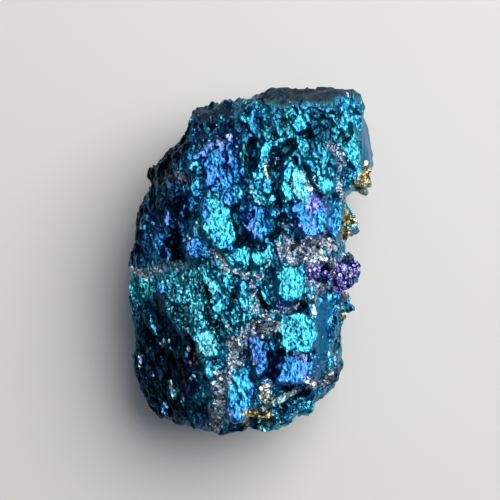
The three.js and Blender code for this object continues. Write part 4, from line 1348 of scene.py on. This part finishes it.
clusters = {
    # What each is made of, and the spots where it sits: place, spread across and along, lean, how many
    # crystals, and their least and largest size
    "brass_crystals": dict(
        seed=21, film=(0.0, 0.10), gold=(0.3, 0.9), pale=(0.0, 0.5), soot=(0.3, 0.95), tilt=22,
        spots=[
            ((11.2, 8.5), (0.5, 0.4), -40, 16, (0.3, 0.65)),
            ((10.6, 7.6), (0.4, 0.8), -45, 24, (0.3, 0.65)),
            ((9.2, 4.3), (0.5, 0.35), -20, 12, (0.35, 0.8)),
            ((8.9, 2.9), (0.35, 0.8), 0, 18, (0.35, 0.8)),
            ((8.9, -3.1), (0.2, 0.3), 0, 5, (0.4, 0.7)),
            ((8.85, -5.0), (0.2, 0.3), 0, 5, (0.35, 0.6)),
            ((0.1, -14.4), (0.3, 0.2), 0, 5, (0.5, 0.8)),
            ((1.2, -14.4), (0.7, 0.3), 0, 12, (0.45, 0.85)),
            ((-0.5, -15.2), (0.4, 0.15), 0, 5, (0.3, 0.55)),
            ((1.5, -15.2), (0.4, 0.2), 0, 5, (0.3, 0.55)),
        ],
    ),
    "cream_crystals": dict(
        seed=22, film=(0.0, 0.1), gold=(0.4, 0.7), pale=(0.75, 1.0), paleShare=0.85, tilt=18,
        spots=[
            ((1.5, -12.4), (0.4, 0.75), 0, 34, (0.25, 0.65)),
            ((11.5, 8.2), (0.2, 0.3), 0, 4, (0.2, 0.38)),
            ((9.9, 3.7), (0.12, 0.3), 0, 4, (0.3, 0.5)),
            ((8.9, 2.1), (0.3, 0.15), 0, 4, (0.25, 0.4)),
            ((3.0, -13.4), (0.15, 0.3), 0, 4, (0.2, 0.35)),
        ],
    ),
    "violet_crystals": dict(
        seed=23, film=(0.34, 0.43), pale=(0.0, 0.35), soot=(0.0, 0.5), tilt=12,
        spots=[
            ((9.9, -0.3), (0.2, 0.6), 0, 24, (0.3, 0.55)),
            ((9.2, -0.9), (0.7, 0.4), -20, 30, (0.3, 0.55)),
            ((8.6, -2.1), (0.5, 0.4), 0, 18, (0.35, 0.75)),
            ((7.7, -1.3), (0.6, 0.3), 0, 14, (0.3, 0.6)),
            ((6.1, -1.0), (0.6, 0.4), 30, 16, (0.25, 0.5)),
        ],
    ),
    "ledge_crystals": dict(
        seed=24, film=(0.60, 0.80), pale=(0.0, 0.3), tilt=24,
        spots=[
            ((2.6, -14.8), (0.5, 0.4), 0, 12, (0.35, 0.7)),
            ((3.6, -15.0), (0.4, 0.3), -30, 9, (0.3, 0.55)),
            ((4.9, -13.7), (0.8, 0.3), -10, 16, (0.3, 0.65)),
            ((1.4, -15.8), (0.7, 0.25), -10, 10, (0.35, 0.7)),
            ((8.3, 1.0), (0.4, 0.5), 0, 14, (0.3, 0.6)),
            ((8.6, -4.3), (0.3, 0.6), 0, 14, (0.3, 0.55)),
        ],
    ),
    "silver_blocks": dict(
        seed=25, film=(0.6, 0.8), pale=(0.0, 0.4), silver=(0.7, 1.0), soot=(0.3, 0.95), tilt=24,
        spots=[
            ((4.2, 1.4), (0.8, 0.4), 0, 18, (0.35, 0.8)),
            ((6.8, 1.9), (0.9, 0.45), -8, 24, (0.35, 0.9)),
            ((6.0, 0.5), (0.9, 0.5), 0, 22, (0.35, 0.8)),
            ((7.7, 0.2), (0.4, 0.4), 0, 9, (0.35, 0.8)),
            ((9.2, 0.5), (0.45, 0.25), 0, 14, (0.3, 0.6)),
            ((7.3, -2.4), (0.4, 0.3), 0, 8, (0.3, 0.6)),
            ((1.0, -6.2), (1.1, 0.5), 10, 26, (0.3, 0.65)),
            ((-1.3, -8.2), (0.5, 1.2), 30, 26, (0.3, 0.65)),
            ((-2.9, -12.2), (0.5, 1.6), 8, 30, (0.3, 0.65)),
            ((5.9, -11.8), (0.5, 0.35), -30, 14, (0.3, 0.65)),
            ((-9.7, -0.9), (0.7, 0.25), 0, 14, (0.25, 0.5)),
            ((-3.4, -15.2), (0.6, 0.5), 0, 18, (0.3, 0.65)),
            ((7.5, -10.9), (0.6, 0.4), -50, 16, (0.3, 0.7)),
        ],
    ),
}


def makeCluster(name, surfaceAt):
    cluster = clusters[name]
    chance = random.Random(cluster["seed"])
    heap = startHeap()
    leastLevel = 0.3  # how far up the surface has to face
    for at, spread, lean, count, sizes in cluster["spots"]:
        for _ in range(count):
            across, along = (chance.gauss(0, 0.6) * half for half in spread)
            place, normal = surfaceAt(*placeIn(at, lean, across, along))
            if place is None or normal[2] < leastLevel:
                continue
            size = chance.uniform(*sizes)
            addCrystal(
                heap, chance, place, [size * chance.uniform(0.7, 1.2) for _ in range(3)],
                towardsWindow(chance, cluster["tilt"]), kind="block",
                film=chance.uniform(*cluster["film"]),
                gold=chance.uniform(*cluster.get("gold", (0, 0))),
                pale=chance.uniform(*cluster["pale"]) * (chance.random() < cluster.get("paleShare", 0.5)),
                silver=chance.uniform(*cluster.get("silver", (0, 0))),
                # dark skin and painted shade on about half of them
                soot=chance.uniform(*cluster.get("soot", (0, 0))) * (chance.random() < 0.5),
            )
    heapPiece(name, heap)


beam = {
    "ends": ((0.9, -13.4), (4.0, -11.7)),
    "wide": 0.72,
    "thick": 0.45,
    "parts": 4,
    "seed": 31,
    "looks": dict(film=0.8, pale=0.5, soot=0.45),
}


def makeBeam(surfaceAt):
    # the slanting grey strip on the ledge, broken across into a few lengths
    chance = random.Random(beam["seed"])
    heap = startHeap()
    (ax, ay), (bx, by) = beam["ends"]
    azimuth = math.degrees(math.atan2(by - ay, bx - ax))
    shares = [(number + 0.5) / beam["parts"] for number in range(beam["parts"])]
    under = [surfaceAt(ax + (bx - ax) * share, ay + (by - ay) * share)[0] for share in shares]
    rise, level = np.polyfit(shares, [place[2] for place in under], 1)
    level += max(place[2] - level - rise * share for place, share in zip(under, shares))
    length = math.hypot(bx - ax, by - ay) / beam["parts"]
    for share in shares:
        place = (ax + (bx - ax) * share, ay + (by - ay) * share, level + rise * share)
        size = (beam["wide"] * chance.uniform(0.8, 1.1), length * 1.5, beam["thick"])
        addCrystal(
            heap, chance, place, size, Vector((0, 0.1, 1)), lean=azimuth - 90, kind="block", **beam["looks"],
        )
    heapPiece("grey_beam", heap)


def addPiece(piece, material):
    piece.data.materials.append(material)
    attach(piece, "root")


makeCamera()
makeLights()
makeTable()
tarnish = tarnishMaterial()

ore = copyLump("ore_lump")
remeshLump(ore, 0)
carvePlates(ore)
remeshLump(ore, 1)
carveGrain(ore)
thinOut(ore, lump["mostTriangles"])
addPiece(ore, tarnish)
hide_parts("peacock_ore")

crystalShapes = makeCrystalShapes()
surfaceAt = makeSurfaceFinder(ore)
makeSeamGrains(surfaceAt)
makeSparks(surfaceAt)
for clusterName in clusters:
    makeCluster(clusterName, surfaceAt)
makeBeam(surfaceAt)
bpy.context.scene.view_settings.view_transform = "Standard"
